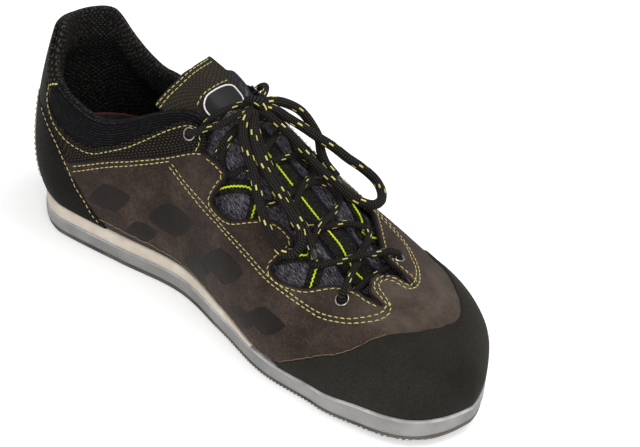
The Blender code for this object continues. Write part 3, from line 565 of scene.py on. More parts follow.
def moulded(name, dark, light, roughness, scale=60, dirt=None):
    made = Finish(name, roughness, 0.4)
    cloud, fine = made.noise(scale, 4), made.noise(1300)
    made.tone = cloud.ramp((0.35, dark), (0.65, light))
    if dirt:
        made.coat(made.noise((150, 150, 260), 4).ramp((0.5, 0.0), (0.75, 0.55)), dirt)
    made.rough(fine, roughness - 0.08, roughness + 0.1)
    return made.done((cloud, 0.0004), (fine, 0.0001))


def plain(name, dark, light, roughness, specular=0.5, **constants):
    made = Finish(name, roughness, specular, **constants)
    grain = made.noise(900)
    made.tone = grain.ramp((0.3, dark), (0.7, light))
    return made.done((grain, 0.00005))


NUBUCK, LEATHER, SMOOTH_LEATHER, RUBBER, LINING = nubuck(), leather(), smooth_leather(), rubber(), lining()
RIBBED, TONGUE_MESH, WEBBING_BLACK, BRAID = ribbed(), tongue_mesh(), webbing(), braid()
OUTSOLE_RUBBER = moulded("outsole_rubber", (58, 55, 51), (88, 84, 78), 0.8)
MIDSOLE_FOAM = moulded("midsole_foam", (120, 119, 117), (144, 143, 142), 0.6, 35, (116, 111, 104))
# A lighter grey for the midsole's lip: a painted highlight along its top edge.
MIDSOLE_LIP_PAINTED_HIGHLIGHT = moulded("midsole_lip_painted_highlight", (142, 142, 142), (180, 180, 180), 0.5, 90, (134, 131, 126))
WEDGE_FOAM = moulded("wedge_foam", (190, 179, 163), (208, 198, 184), 0.75, dirt=(176, 165, 148))
FOOTBED = moulded("footbed", (40, 40, 50), (58, 58, 70), 0.9, 200)
THREAD = plain("stitch_thread", (158, 147, 84), (202, 192, 128), 0.75)
LIME = plain("lime_thread", (190, 214, 0), (222, 242, 30), 0.7)
METAL = plain("dark_metal", (122, 116, 110), (170, 164, 158), 0.25, Metallic=1.0)
FRAYED = plain("frayed_edge", (82, 66, 49), (130, 110, 85), 0.9)
GLUE = plain("glue_smear", (84, 72, 58), (128, 114, 94), 0.6)
# Black for the counter's piping, and for the painted shade in the eyelets' holes.
BLACK = plain("black_piping_and_hole_shade", (8, 8, 8), (17, 16, 15), 0.7, 0.2)
LABEL = plain("label_satin", (10, 10, 11), (20, 20, 22), 0.5, 0.25)
WHITE = plain("label_border", (206, 206, 204), (232, 232, 230), 0.6)
RED = plain("footbed_edge", (100, 38, 26), (134, 56, 36), 0.8)
AGLET = plain("clear_aglet", (22, 21, 20), (40, 39, 37), 0.4, 0.35)


# Mesh helpers


def metres(points):
    return ((np.asarray(points, float) + SHIFT) * MM).tolist()


def build(name, points, faces, materials, slots=None, uv=None, values=()):
    """A smooth piece from points in the source's millimetres, riding on the root."""
    mesh = bpy.data.meshes.new(name)
    mesh.from_pydata(metres(points), [], [tuple(map(int, face)) for face in faces])
    for material in materials if isinstance(materials, list) else [materials]:
        mesh.materials.append(material)
    if slots is not None:
        mesh.polygons.foreach_set("material_index", np.asarray(slots, np.int32))
    if uv is not None:
        corner = np.empty(len(mesh.loops), np.int32)
        mesh.loops.foreach_get("vertex_index", corner)
        flat = (np.asarray(uv)[corner] / FLAT).astype(np.float32)
        mesh.uv_layers.new(name="flat").data.foreach_set("uv", flat.ravel())
    for key, value in dict(values).items():
        mesh.attributes.new(key, "FLOAT", "POINT").data.foreach_set("value", np.asarray(value, np.float32))
    mesh.shade_smooth()
    made = bpy.data.objects.new(name, mesh)
    bpy.context.scene.collection.objects.link(made)
    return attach(made, "root")


def block(count, width, start=0):
    """Quads of a grid of points."""
    i, j = np.meshgrid(np.arange(count - 1), np.arange(width - 1), indexing="ij")
    low = start + i * width + j
    return np.stack([low, low + width, low + width + 1, low + 1], -1).reshape(-1, 4)


def bands(count, size, closed=False):
    """Quads between closed rings of points; closed also joins the last ring to the first."""
    ring, at = np.meshgrid(np.arange(count if closed else count - 1), np.arange(size), indexing="ij")
    low, high, after = ring * size, (ring + 1) % count * size, (at + 1) % size
    return np.stack([low + at, low + after, high + after, high + at], -1).reshape(-1, 4)


def welded(points, digits):
    """For each point the number of the first one at its place."""
    _, first, twin = np.unique(np.round(points, digits) + 0.0, axis=0, return_index=True, return_inverse=True)
    return first[twin.reshape(-1)]


def cleaned(points, faces, slots):
    """Drops doubled corners, empty faces and unused points; gives the kept points, faces and slots."""
    kept, marks = [], []
    for face, slot in zip(faces.tolist(), slots.tolist()):
        ring = [corner for k, corner in enumerate(face) if corner != face[k - 1]]
        if len(set(ring)) > 2:
            kept.append(ring)
            marks.append(slot)
    used = np.unique(np.concatenate(kept))
    order = np.full(len(points), -1)
    order[used] = np.arange(len(used))
    return used, [order[ring] for ring in kept], marks


def distance(points, others):
    """Distance of each point from the nearest of the others."""
    tree = KDTree(len(others))
    for index, point in enumerate(others):
        tree.insert(point, index)
    tree.balance()
    return np.array([tree.find(point)[2] for point in points])


def patch(station, side, girth, top, base, **more):
    """A grid of a layer: its place on the last, the lifts of its outside and inside, and what else it has."""
    places = np.broadcast_arrays(station, side, girth, top, base)
    return {**dict(zip(("station", "side", "girth", "top", "base"), places)), **more}


def layer(name, patches, materials, rolled=0.8, inner_rolled=0.0):
    """A closed layer on the last, from patches; rolled and inner_rolled round its borders."""
    flat, faces, slots, start = {}, [], [], 0
    for key in ("station", "side", "girth", "top", "base", "u", "v", "tint_and_painted_light"):
        grids = [np.broadcast_to(own.get(key, 0.0), own["station"].shape).ravel() for own in patches]
        flat[key] = np.concatenate(grids)
    for own in patches:
        count, width = own["station"].shape
        faces.append(block(count, width, start))
        slots.append(np.broadcast_to(own.get("slot", 0), (count - 1, width - 1)).ravel())
        start += count * width
    faces = np.vstack(faces)
    place = [flat[key] for key in ("station", "side", "girth")]
    level = skin(*place)
    flip = flat["side"][faces[:, 0]] < 0
    faces[flip] = faces[flip][:, ::-1]
    faces = welded(level, 2)[faces]
    ways = np.stack([faces, np.roll(faces, -1, 1)], -1).reshape(-1, 2)
    ways = ways[ways[:, 0] != ways[:, 1]]
    _, index, count = np.unique(np.sort(ways, 1), axis=0, return_index=True, return_counts=True)
    rim = ways[index[count == 1]]
    share = np.linspace(0, 1, 9)[None, :-1, None]
    border = level[rim[:, 0], None] * (1 - share) + level[rim[:, 1], None] * share
    away = distance(level, np.unique(np.round(border.reshape(-1, 3), 1), axis=0))

    def fall(radius):
        """How far a border rounded by a radius falls back."""
        radius = np.maximum(radius, 1e-3)
        return radius * (1 - np.sqrt(1 - np.clip(1 - away / radius, 0, 1) ** 2))

    middle = (flat["top"] + flat["base"]) / 2
    outer = skin(*place, np.maximum(flat["top"] - fall(rolled), middle))
    inner = skin(*place, np.minimum(flat["base"] + fall(inner_rolled), middle))
    points, under = np.vstack([outer, inner]), len(outer)
    walls = np.stack([rim[:, 1], rim[:, 0], rim[:, 0] + under, rim[:, 1] + under], -1)
    every = np.vstack([faces, faces[:, ::-1] + under, walls])
    marks = np.concatenate([*slots, np.zeros(len(faces) + len(walls), int)])
    used, kept, marks = cleaned(points, every, marks)
    uv = np.tile(np.stack([flat["u"], flat["v"]], -1), (2, 1))[used]
    values = {"edge": np.tile(away / 10, 2)[used], "tint_and_painted_light": np.tile(flat["tint_and_painted_light"], 2)[used]}
    return build(name, points[used], kept, materials, marks, uv, values)


def shares(count, tight=0.03, low=True, high=True):
    """Shares from 0 to 1, closer together at the ends."""
    near = tight * np.array((0.08, 0.25, 0.5, 0.8, 1.2))
    parts = [np.linspace(0, 1, count)] + [near] * low + [1 - near] * high
    return np.unique(np.concatenate(parts))


def run_length(points, axis=0, power=1.0):
    """Length along the lines of a grid of points, each step raised to a power."""
    step = np.linalg.norm(np.diff(points, axis=axis), axis=-1) ** power
    return np.cumsum(np.insert(step, 0, 0.0, axis=axis), axis=axis)


def spaced(points, step):
    """Points evenly spaced along a line."""
    along = run_length(points)
    at = np.linspace(0, along[-1], max(2, int(round(along[-1] / step)) + 1))
    return np.stack([np.interp(at, along, values) for values in points.T], 1)


def stepped(line, ways, step):
    """A line and its outward ways, evenly spaced."""
    pair = spaced(np.hstack([line, ways]), step)
    return pair[:, :3], pair[:, 3:]


def curve(points, step):
    """A smooth line through points, evenly spaced."""
    points = np.asarray(points, float)
    along = run_length(points, power=0.7)
    at = np.linspace(0, along[-1], 24 * len(points))
    return spaced(np.stack([smooth(along, values, at) for values in points.T], 1), step)


def aside(line, ways):
    """Unit ways across a line on its surface."""
    return unit(np.cross(ways, np.gradient(line, axis=0)))


def cross_ways(line):
    """Two ways across a line, with no twist along it."""
    tangent = unit(np.gradient(line, axis=0))
    first = np.cross(tangent[0], (0.0, 0.0, 1.0))
    if np.linalg.norm(first) < 0.1:
        first = np.cross(tangent[0], (0.0, 1.0, 0.0))
    one = np.empty_like(line)
    one[0] = unit(first)
    for k in range(1, len(line)):
        one[k] = unit(one[k - 1] - tangent[k] * (one[k - 1] @ tangent[k]))
    return one, np.cross(tangent, one)


def tube(line, radius, sides):
    """Points, faces and UV of a closed tube; its seam has two rows of points, so the UV runs right round."""
    one, two = cross_ways(line)
    turn = np.linspace(0, 2 * np.pi, sides + 1)
    radius = np.broadcast_to(radius, (len(line),))[:, None, None]
    ring = np.cos(turn)[None, :, None] * one[:, None] + np.sin(turn)[None, :, None] * two[:, None]
    points = line[:, None] + ring * radius
    uv = np.stack(np.broadcast_arrays(run_length(line)[:, None], turn / (2 * np.pi) * FLAT), -1)
    end = (len(line) - 1) * (sides + 1)
    faces = [*block(len(line), sides + 1), np.arange(sides), end + np.arange(sides)[::-1]]
    return points.reshape(-1, 3), faces, uv.reshape(-1, 2)


def joined(points, faces):
    """Several lists of points, and the faces of each, as one."""
    starts = np.cumsum([0] + [len(own) for own in points])
    return np.vstack(points), [face + start for own, start in zip(faces, starts) for face in own]


def tubes(name, lines, radius, sides, material):
    points, faces, uv = zip(*(tube(line, radius, sides) for line in lines))
    return build(name, *joined(points, faces), material, uv=np.vstack(uv))


# Place along a stitch, size and lift of its rings
STITCH = ((-0.5, 0.45, -0.25), (-0.32, 1.0, 0.6), (0.0, 1.05, 0.85), (0.32, 1.0, 0.6), (0.5, 0.45, -0.25))


def stitches(name, lines, length=2.3, gap=0.9, width=0.52, height=0.4):
    """Rows of stitches along lines of (points, outward ways)."""
    turn = np.linspace(0, 2 * np.pi, 7)[:-1, None]
    size, end = len(turn), (len(STITCH) - 1) * len(turn)
    faces = [*bands(len(STITCH), size), np.arange(size)[::-1], end + np.arange(size)]
    made = []
    for line, ways in lines:
        centre, up = stepped(line, ways, length + gap)
        ahead = unit(np.gradient(centre, axis=0))
        for c, a, b, u in zip(centre[:-1] * 0.5 + centre[1:] * 0.5, ahead, np.cross(up, ahead), up):
            a = a + b * RNG.normal(0, 0.04)
            long = length * RNG.uniform(0.88, 1.06)
            ring = np.cos(turn) * b * width / 2 + np.sin(turn) * u * height / 2
            rings = [c + a * place * long + u * height * lift + ring * scale for place, scale, lift in STITCH]
            made.append(np.vstack(rings))
    return build(name, *joined(made, [faces] * len(made)), THREAD)


# Upper

ROW_SHARES = shares(26, 0.05, low=False)
FRONT_COLUMNS, TAB_STEPS, THROAT_STEPS = 44, 8, 4
# Soft troughs of a worn-in upper: three points, depth and width
CREASES = (
    ((58, -40, 34), (74, -30, 44), (88, -26, 47), 0.5, 4.0),
    ((78, -36, 36), (88, -33, 41), (98, -27, 43), -0.35, 5.0),
    ((-20, -30, 40), (-2, -32, 36), (16, -37, 30), 0.45, 6.0),
    ((-70, -33, 38), (-52, -32, 33), (-38, -30, 26), 0.4, 6.0),
    ((64, 44, 30), (80, 36, 40), (92, 24, 45), 0.5, 4.5),
    ((-10, 40, 40), (10, 44, 36), (28, 48, 30), 0.4, 6.0),
)


def through(values, steps):
    """A smooth run through values, with steps between each two."""
    index = np.arange(len(values), dtype=float)
    return smooth(index, values, np.linspace(0, index[-1], steps * int(index[-1]) + 1))


THROAT_LINE = {name: through(values, THROAT_STEPS) for name, values in THROAT.items()}


def free_edge(place, side):
    """Girth of the upper's free edge, along the collar and then the throat."""
    dip = LATERAL_DIP * np.exp(-((place - DIP_AT) / DIP_RUN) ** 2) * (np.asarray(side) > 0)
    collar = girth_at(place, smooth(COLLAR["station"], COLLAR["height"], place) - dip)
    throat = (np.interp(place, THROAT_LINE["place"], THROAT_LINE[name]) for name in SIDES.values())
    return np.where(place < THROAT["place"][0], collar, by_side(side, *throat))


def slanted(place, girth):
    return place + SLANT * np.clip((place + 60) / 40, 0, 1) * (girth - SLANT_GIRTH)


def tab_rows(side):
    """Station and girth of rows from the throat's last point to the ridge, round the notch and the tab."""
    name = SIDES[side]
    edge = THROAT[name][-1]
    station = np.append(slanted(THROAT["place"][-1], edge), TAB[name + "_station"])
    return [through(values, TAB_STEPS)[1:] for values in (station, np.append(edge, TAB[name + "_girth"]))]


def front(side, station, girth):
    """Grids of station and girth from the throat's last column to the tip of the toe."""
    station, girth = (np.append(own, tab) for own, tab in zip((station, girth), tab_rows(side)))
    run = np.linspace(0, 1, FRONT_COLUMNS + 1)[:, None]
    edges = [free_edge(THROAT["place"][-1], each) for each in SIDES]
    at_tip = np.append(ROW_SHARES * sum(edges) / 2, (tab_rows(-1)[1] + tab_rows(1)[1]) / 2)
    return station + (TOE_END - station) * run, girth + (at_tip - girth) * run


def side_places(first):
    heel = np.linspace(HEEL_END, HEEL_TURN, 36)
    collar = np.linspace(HEEL_TURN, THROAT["place"][0], 60)[1:]
    every = np.concatenate([heel, collar, THROAT_LINE["place"][1:]])
    return every[every >= first][:, None]


def panel_border(name, station, side):
    return column(PANEL, name, station) + column(PANEL, "lateral", station) * (np.asarray(side) > 0)


def counter_top(station):
    return girth_at(station, smooth(COUNTER["station"], COUNTER["height"], station))


def cap_top(station, side):
    return smooth(TOE_CAP["station"], TOE_CAP[SIDES[side]], station)


def wall_at(place, share):
    """Thickness of the wall: padded round the collar's rim, thin at the throat."""
    padded = ease((-30 - place) / 34)
    swell = COLLAR_SWELL * np.exp(-((share - 0.74) / 0.15) ** 2)
    return WALL + padded * ((COLLAR_PAD - WALL) * ease((share - 0.4) / 0.45) + swell)


def make_upper():
    """The wall: lining, ribbed mesh outside under the collar's rim, and leather over the heel's rim."""
    patches, rolled = [], []
    for side in SIDES:
        place = side_places(HEEL_END)
        edge = free_edge(place, side)
        girth = edge * ROW_SHARES
        station = slanted(place, girth)
        low, high = (panel_border(name, station, side) for name in ("low", "high"))
        over = np.clip((girth - high) / np.maximum(edge - high, 1), 0, 1)
        puff = ease((RIBBED_FRONT - place) / PUFF_RUN) * ease((place - RIBBED_BACK) / PUFF_RUN)
        puff = puff * ease((girth - low) / (high - low))
        top = WALL_TOP + puff * (PUFF_EDGE + PUFF_SWELL * np.sin(np.pi * over))
        thick = wall_at(place, ROW_SHARES)
        down = last_point(slanted(place, edge), side, edge)[..., 2] - last_point(station, side, girth)[..., 2]
        slot = np.where((ROW_SHARES[1:] < 0.97) & (place[1:] < RIBBED_FRONT), 1, 0)
        slot = np.where(place[1:] < HEEL_RIM_FRONT, 2, slot)
        patches.append(patch(station, side, girth, top, -thick, u=station, v=down, slot=slot))
        rolled.append(np.where(place < RIBBED_FRONT - 2, (thick + top) * 0.5, 0.5).ravel())
        station, girth = front(side, station[-1], girth[-1])
        patches.append(patch(station, side, girth, WALL_TOP, -WALL))
        rolled.append(np.full(station.size, 0.4))
    rolled = np.concatenate(rolled)
    made = layer("upper_lining", patches, [LINING, RIBBED, LEATHER], rolled, rolled)
    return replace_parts(made, "upper")


def crease(points):
    """Height change by the creases at points on the upper's skin."""
    change = np.zeros(len(points))
    for *route, depth, width in CREASES:
        change -= depth * np.exp(-(distance(points, curve(route, 2.0)) / width) ** 2)
    return change


def make_nubuck():
    """Brown nubuck over the wall, lapped on the leather panel behind and turned at the throat."""
    patches = []
    for side in SIDES:
        place = side_places(LAP_BACK)
        lapped = place < LAP_FRONT
        border = np.where(lapped, 0.0, free_edge(place, side))
        for _ in range(12):
            border = np.where(lapped, panel_border("low", slanted(place, border), side) + 1.0, border)
        girth = border * ROW_SHARES
        station = slanted(place, girth)
        lap = ease(1 - (border - girth - 2.5) / 5) * ease((-17 - place) / 6)
        ahead = (*front(side, station[-1], girth[-1]), NUBUCK_TOP)
        for station, girth, top in ((station, girth, NUBUCK_TOP + LAP * lap), ahead):
            points = skin(station, side, girth)
            top = top + crease(points.reshape(-1, 3)).reshape(station.shape)
            # Painted highlight: the nubuck is painted lighter towards the front and top of the vamp.
            painted_highlight = ease((station - 58) / 45) * ease((girth - 28) / 40)
            more = {"u": station, "v": run_length(points, 1), "tint_and_painted_light": painted_highlight}
            patches.append(patch(station, side, girth, top, NUBUCK_BASE, **more))
    return layer("nubuck_shell", patches, NUBUCK, 0.7)


def make_toe_cap():
    patches, rows = [], shares(34, 0.06, low=False)
    for side, first in CAP_STARTS.items():
        side_run, toe = np.arange(first, TOE_TURN - 0.5, 1.5), np.linspace(TOE_TURN, TOE_END, 60)
        station = np.append(side_run, toe)[:, None]
        patches.append(patch(station, side, cap_top(station, side) * rows, CAP_TOP, COVER_BASE))
    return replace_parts(layer("toe_cap_rand", patches, RUBBER, 1.0), "toe_cap")


def make_counter():
    heel, side_run = np.linspace(HEEL_END, HEEL_TURN, 40), np.arange(HEEL_TURN + 1, COUNTER_FRONT, 1.0)
    station = np.append(heel, side_run)[:, None]
    girth = counter_top(station) * shares(26, 0.06, low=False)
    patches = [patch(station, side, girth, COUNTER_TOP, COVER_BASE) for side in SIDES]
    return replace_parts(layer("heel_counter_cover", patches, SMOOTH_LEATHER, 1.0), "heel_counter")


def make_panel():
    """Grained leather from the heel tab along the ankle to the rear eyelets, tucked under its neighbours."""
    tab, ankle = np.linspace(HEEL_END, TAB_FRONT - 0.5, 24), np.linspace(TAB_FRONT + 0.5, PANEL_FRONT, 110)
    station = np.append(tab, ankle)[:, None]
    behind = station < TAB_FRONT
    rows, patches = shares(16, 0.08), []
    for side in SIDES:
        low, high = (panel_border(name, station, side) for name in ("low", "high"))
        low = np.where(behind, counter_top(station) - UNDER_COUNTER, low - UNDER_NUBUCK)
        high = np.where(behind, free_edge(station, side) - UNDER_RIM, high)
        girth = low + (high - low) * rows
        points = skin(station, side, girth)
        lengths = {"u": run_length(points, 0), "v": run_length(points, 1)}
        patches.append(patch(station, side, girth, PANEL_TOP, PANEL_BASE, **lengths))
    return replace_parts(layer("collar_panel_leather", patches, LEATHER, 0.8), "collar_panel")


# Stitched rows and edges

# Rows on both sides, as station and angle from the ridge
PANEL_ROW = (
    (-109, 56), (-115, 61), (-116, 65), (-113, 67.5), (-107.5, 70), (-100.5, 71.5), (-92, 71.6),
    (-83, 70.6), (-72.5, 66.5), (-62, 61), (-52.5, 54), (-44, 46.5), (-37.5, 40.5), (-31.5, 35.5),
    (-27, 33.4), (-24, 33.6), (-22, 36), (-22.4, 40), (-24, 43.5),
)
HEEL_ROWS = (
    ((-119, 70), (-112, 71.5), (-106.5, 73.5), (-101, 76.5), (-95.5, 79.5), (-91.5, 82.5), (-86, 85),
     (-81.5, 88), (-78, 89)),
    ((-130, 70), (-128, 74), (-126.5, 79), (-125.5, 84), (-125, 88)),
    ((-127, 70.5), (-125, 74), (-123.5, 79), (-122.5, 84), (-122, 88)),
)
# Rows of the eyestays: side, station and angle behind, then x and y seen from above
EYESTAY_ROWS = (
    (
        -1,
        ((-39, 55.2), (-35, 56), (-25.5, 58), (-10.5, 57.5), (4, 56), (28.5, 53), (39.5, 52), (53.5, 49.5),
         (64.5, 48)),
        ((74.2, -37.9), (84.1, -35.9), (93.3, -31.3), (98.3, -26.2), (99.2, -21.8), (97.9, -19.9)),
    ),
    (
        -1,
        ((-40, 57), (-37, 57.5), (-27, 59.5), (-12, 60), (2, 58), (29.5, 55), (40.5, 54), (55, 51.5),
         (65.5, 50)),
        ((75.4, -38.9), (85.3, -37.1), (94.7, -32.8), (100.2, -28.2), (102.1, -22.9), (100.9, -19.9),
         (97, -18.3)),
    ),
    (
        1,
        ((-36, 49), (-25, 46), (-10, 42), (10, 38.5), (30, 36)),
        ((50, 29.5), (62.7, 27.6), (69, 26.1), (75.8, 22.6), (83.8, 16.4), (90.6, 10.7), (94.9, 4.1),
         (96, -0.6)),
    ),
    (
        1,
        ((-38, 51), (-26, 48), (-11, 44), (9, 40.5), (29, 38)),
        ((50, 32), (62.6, 30), (70.1, 27.2), (77.2, 23.4), (85.5, 17.5), (90.1, 13.5), (95.3, 7.6)),
    ),
)
# Rows round the tab between the notches, seen from above
TAB_ROWS = (
    ((98.1, -19.6), (91.8, -18.2), (87.3, -16.6), (84.8, -12.9), (84.9, -6.4), (87.8, -3.6), (92.8, -2.6),
     (96, -0.6)),
    ((99.9, -18.8), (92.5, -16.2), (88.4, -14.8), (86.6, -11.2), (87.2, -7.4), (90.3, -5.6), (94.7, -4.6),
     (97.7, -3.1), (97.7, 2.5), (95.3, 7.6)),
)
TONGUE_ROWS = (
    ((-54, -39.5), (-51.4, -31.5), (-48, -19.5), (-47.2, -4.5), (-50.4, 8.8)),
    ((-51.6, -39.5), (-49.2, -31), (-45.9, -20), (-45.1, -5), (-48, 9)),
    ((-33.5, -24), (-34, -17), (-33.5, -6), (-34.5, 7)),
    ((-6.4, -8), (-6.4, -4), (-6.4, 3)),
)
# Station, angle and lift of the bar at the end of the ribbed band, on the medial side
BAND_END = ((-116.5, 62.6, 1.1), (-114, 60.6, 1.0), (-111.5, 59.2, -0.2))
NOTCH_POINTS, EDGE_INSET, EDGE_ROW_BACK = 7, 2.2, -19.5
# Inset in degrees and front station of the rows on the nubuck's lap, which start together behind
LAP_ROWS, LAP_ROWS_BACK = ((0.3, -18.5), (1.8, -36.0)), -93.5
# Stations of the ends of the piping, of the frayed edge on each side and of the glue line, and their radii
PIPING_ENDS, FRAYED_ENDS, GLUE_ENDS = (-119, -75.2), {-1: (61.0, 114.0), 1: (54.0, 66.0)}, (-80, 56)
PIPING_RADIUS, FRAYED_RADIUS, GLUE_RADIUS = 0.75, 0.24, 0.3


def from_plan(points):
    """Station, side and girth of points of the vamp seen from above."""
    x, y = np.array(points, float).T
    centre = SECTIONS["spine_y"][-1]
    ahead, over = x - TOE_TURN, y - centre
    turn = np.degrees(np.arctan2(np.abs(over), np.maximum(ahead, 0)))
    station = np.where(ahead >= 0, TOE_TURN + (90 - turn) * (TOE_END - TOE_TURN) / 90, x)
    spine = section("spine_y", station)
    side = np.where(y < spine, -1.0, 1.0)
    out = np.where(ahead >= 0, np.hypot(ahead, over), np.abs(y - spine))
    low, high = np.zeros_like(out), np.full_like(out, 90.0)
    for _ in range(20):
        girth = (low + high) / 2
        there = last_point(station, side, girth)
        round_toe = np.hypot(there[:, 0] - TOE_TURN, there[:, 1] - centre)
        reached = np.where(ahead >= 0, round_toe, np.abs(there[:, 1] - spine))
        low, high = np.where(reached > out, girth, low), np.where(reached > out, high, girth)
    return station, side, girth


def on_nubuck(station, side, girth, lift=NUBUCK_THREAD):
    """A line on the nubuck, following its creases, with its outward ways."""
    points, ways = seam(station, side, girth, lift)
    return points + ways * crease(points)[:, None], ways


def row_line(rows, side, lift, shift=0.0):
    """A row under the free edge, shifted on the lateral side like the panel."""
    station, angle = curve(rows, 1.0).T
    girth = 90 - angle + shift * column(PANEL, "lateral", station) * (side > 0)
    under = girth < free_edge(station, side) - 3
    return seam(station[under], side, girth[under], lift)


def edge_row(side):
    """A row just inside the throat's free edge, as far as the tip of the notch."""
    place = THROAT_LINE["place"]
    place = place[place > EDGE_ROW_BACK]
    tab_station, tab_girth = (values[:NOTCH_POINTS] for values in tab_rows(side))
    girth = free_edge(place, side)
    station = np.append(slanted(place, girth), tab_station)
    edge, ways = stepped(*seam(station, side, np.append(girth, tab_girth), 0.4), 0.5)
    moved = edge + aside(edge, ways) * side * EDGE_INSET
    clear = distance(moved, edge) > EDGE_INSET * 0.9
    moved, ways = moved[clear], ways[clear]
    return moved + ways * crease(moved)[:, None], ways


def make_stitches():
    rows = []
    for side in SIDES:
        rows.append(row_line(PANEL_ROW, side, PANEL_THREAD, shift=1.0))
        rows += [row_line(row, side, COUNTER_THREAD) for row in HEEL_ROWS]
        for inset, last in LAP_ROWS:
            station = np.arange(LAP_ROWS_BACK, last, 1.0)
            rows.append(on_nubuck(station, side, panel_border("low", station, side) - inset, LAP_THREAD))
        rows.append(edge_row(side))
    for side, stay, vamp in EYESTAY_ROWS:
        station, _, girth = from_plan(vamp)
        station, angle = curve([*stay, *zip(station, 90 - girth)], 1.0).T
        rows.append(on_nubuck(station, side, 90 - angle))
    rows += [on_nubuck(*from_plan(curve(row, 1.0))) for row in TAB_ROWS]
    stitches("seam_stitches", rows)
    rows = [over_tongue(*curve(row, 1.0).T, 1.0) for row in TONGUE_ROWS]
    stitches("tongue_stitches", rows, length=2.2, gap=0.8)
    station, angle, lift = curve(BAND_END, 0.8).T
    stitches("band_end_stitches", [seam(station, -1, 90 - angle, lift)], length=1.6, gap=0.1, width=1.0)


def ragged(station, side, girth, lift, amount):
    """A line that wanders a little on its surface, like a frayed edge."""
    line, ways = stepped(*seam(station, side, girth, lift), 0.5)
    wander = np.convolve(RNG.normal(0, 1, len(line) + 8), np.ones(5) / 5, "same")[4:-4, None]
    return line + aside(line, ways) * wander * amount


def make_edges():
    """Piping along the counter, the frayed pale edge of the toe cap and the line of glue over the sole."""
    station = np.arange(*PIPING_ENDS, 0.8)
    piping = [spaced(skin(station, side, counter_top(station) + 0.3, 0.9), 0.8) for side in SIDES]
    tubes("counter_piping", piping, PIPING_RADIUS, 8, BLACK)
    frayed = []
    for side, ends in FRAYED_ENDS.items():
        station = np.linspace(*ends, 160)
        frayed.append(ragged(station, side, cap_top(station, side) + 0.35, 0.45, 0.35))
    tubes("toe_cap_frayed_edge", frayed, FRAYED_RADIUS, 6, FRAYED)
    glue = [ragged(np.linspace(*GLUE_ENDS, 260), side, 1.6, 0.4, 0.5) for side in SIDES]
    tubes("sole_glue_line", glue, GLUE_RADIUS, 6, GLUE)


# Sole

# Push of the outline and share of the height, from bottom to top
MIDSOLE_PROFILE = ((-1, 0.0), (-0.35, 0.05), (0.0, 0.3), (0.05, 0.6), (0.0, 0.86), (-0.35, 0.97), (-0.9, 1.0))
# Levels whose bands up the midsole's lip take the lighter grey, a painted highlight along its top edge
LIP_LEVELS = (4, 5, 6)
WEDGE_PROFILE = ((-0.9, 0.0), (-0.3, 0.06), (0.0, 0.3), (0.05, 0.65), (-0.15, 0.9), (-0.7, 1.0), (-3.5, 0.98))
# Height of the footbed's rim at the heel, and its drop along the waist
RIM_HEEL, RIM_DROP = 41, 17
# Push of the outline and height
INSOLE_PROFILE = ((-3.4, 0.0), (-2.9, 0.8), (-2.9, 3.0), (-3.6, 4.0), (-9, 4.1))


def loft(name, station, levels, materials, second=()):
    """A layer of the sole through levels from bottom to top, each (push of the outline, heights). The bands
    that start at the levels in second have the second material."""
    rings = []
    for push, height in levels:
        medial, lateral = (outline(station, side, push) for side in SIDES)
        ring = np.vstack([medial, lateral[::-1]])
        ring[:, 2] = np.concatenate([height, height[::-1]])
        rings.append(ring)
    points, count = np.vstack(rings), len(rings[0])
    near = np.arange(len(station) - 1)
    far = count - 1 - near
    floor = np.stack([far, far - 1, near + 1, near], -1)
    roof = floor[:, ::-1] + (len(levels) - 1) * count
    faces = np.vstack([bands(len(levels), count), floor, roof])
    slots = np.zeros(len(faces), int)
    for level in second:
        slots[level * count:(level + 1) * count] = 1
    used, kept, slots = cleaned(points, welded(points, 3)[faces], slots)
    return build(name, points[used], kept, materials, slots)


def fine_stations(step, last=TOE_END):
    heel, toe = np.linspace(HEEL_END, HEEL_TURN, 44), np.linspace(TOE_TURN, TOE_END, 64)
    every = np.concatenate([heel, np.arange(HEEL_TURN, TOE_TURN, step), toe, [last]])
    return np.unique(np.round(every[every <= last], 4))


def make_sole():
    station = fine_stations(0.5)
    push, bottom = ledge(station), ground(station)
    tuck = OUTSOLE_TUCK + HEEL_TUCK * np.clip((-110 - station) / 35, 0, 1)
    tread = ease((station - TREAD_BACK) / 14) * ease((TREAD_FRONT - station) / 8)
    cut = TREAD_DEPTH * tread * (np.abs((station / TREAD_PITCH) % 1 - 0.5) * 2)
    levels = [
        (push - tuck - 1.2, bottom + cut), (push - tuck, bottom + 0.15 + cut),
        (push - tuck * 0.55, bottom + 0.9 + 0.6 * cut),
        (push - 0.35, bottom + OUTSOLE - 0.3), (push - 0.45, bottom + OUTSOLE + 0.1),
    ]
    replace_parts(loft("outsole_tread", station, levels, OUTSOLE_RUBBER), "outsole")
    station = fine_stations(2.0)
    push, low, high = ledge(station), ground(station) + OUTSOLE - 0.05, midsole_top(station)
    lip = LIP * ease((station - 60) / 50)
    levels = [(push + out, low + (high + lip - low) * share) for out, share in MIDSOLE_PROFILE]
    levels += [(push - 2.2, high + lip * 0.6), (push - 4.5, high - 0.3)]
    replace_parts(loft("midsole_band", station, levels, [MIDSOLE_FOAM, MIDSOLE_LIP_PAINTED_HIGHLIGHT], LIP_LEVELS), "midsole")
    station = fine_stations(2.0, WEDGE_FRONT)
    push, low, high = ledge(station), midsole_top(station) - 0.1, section("feather", station) + 0.4
    levels = [(push + out, low + (high - low) * share) for out, share in WEDGE_PROFILE]
    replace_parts(loft("heel_wedge_foam", station, levels, WEDGE_FOAM), "heel_wedge")
    station = fine_stations(3.0)
    levels = [(out, section("feather", station) + up) for out, up in INSOLE_PROFILE]
    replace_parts(loft("insole_footbed", station, levels, FOOTBED), "insole")


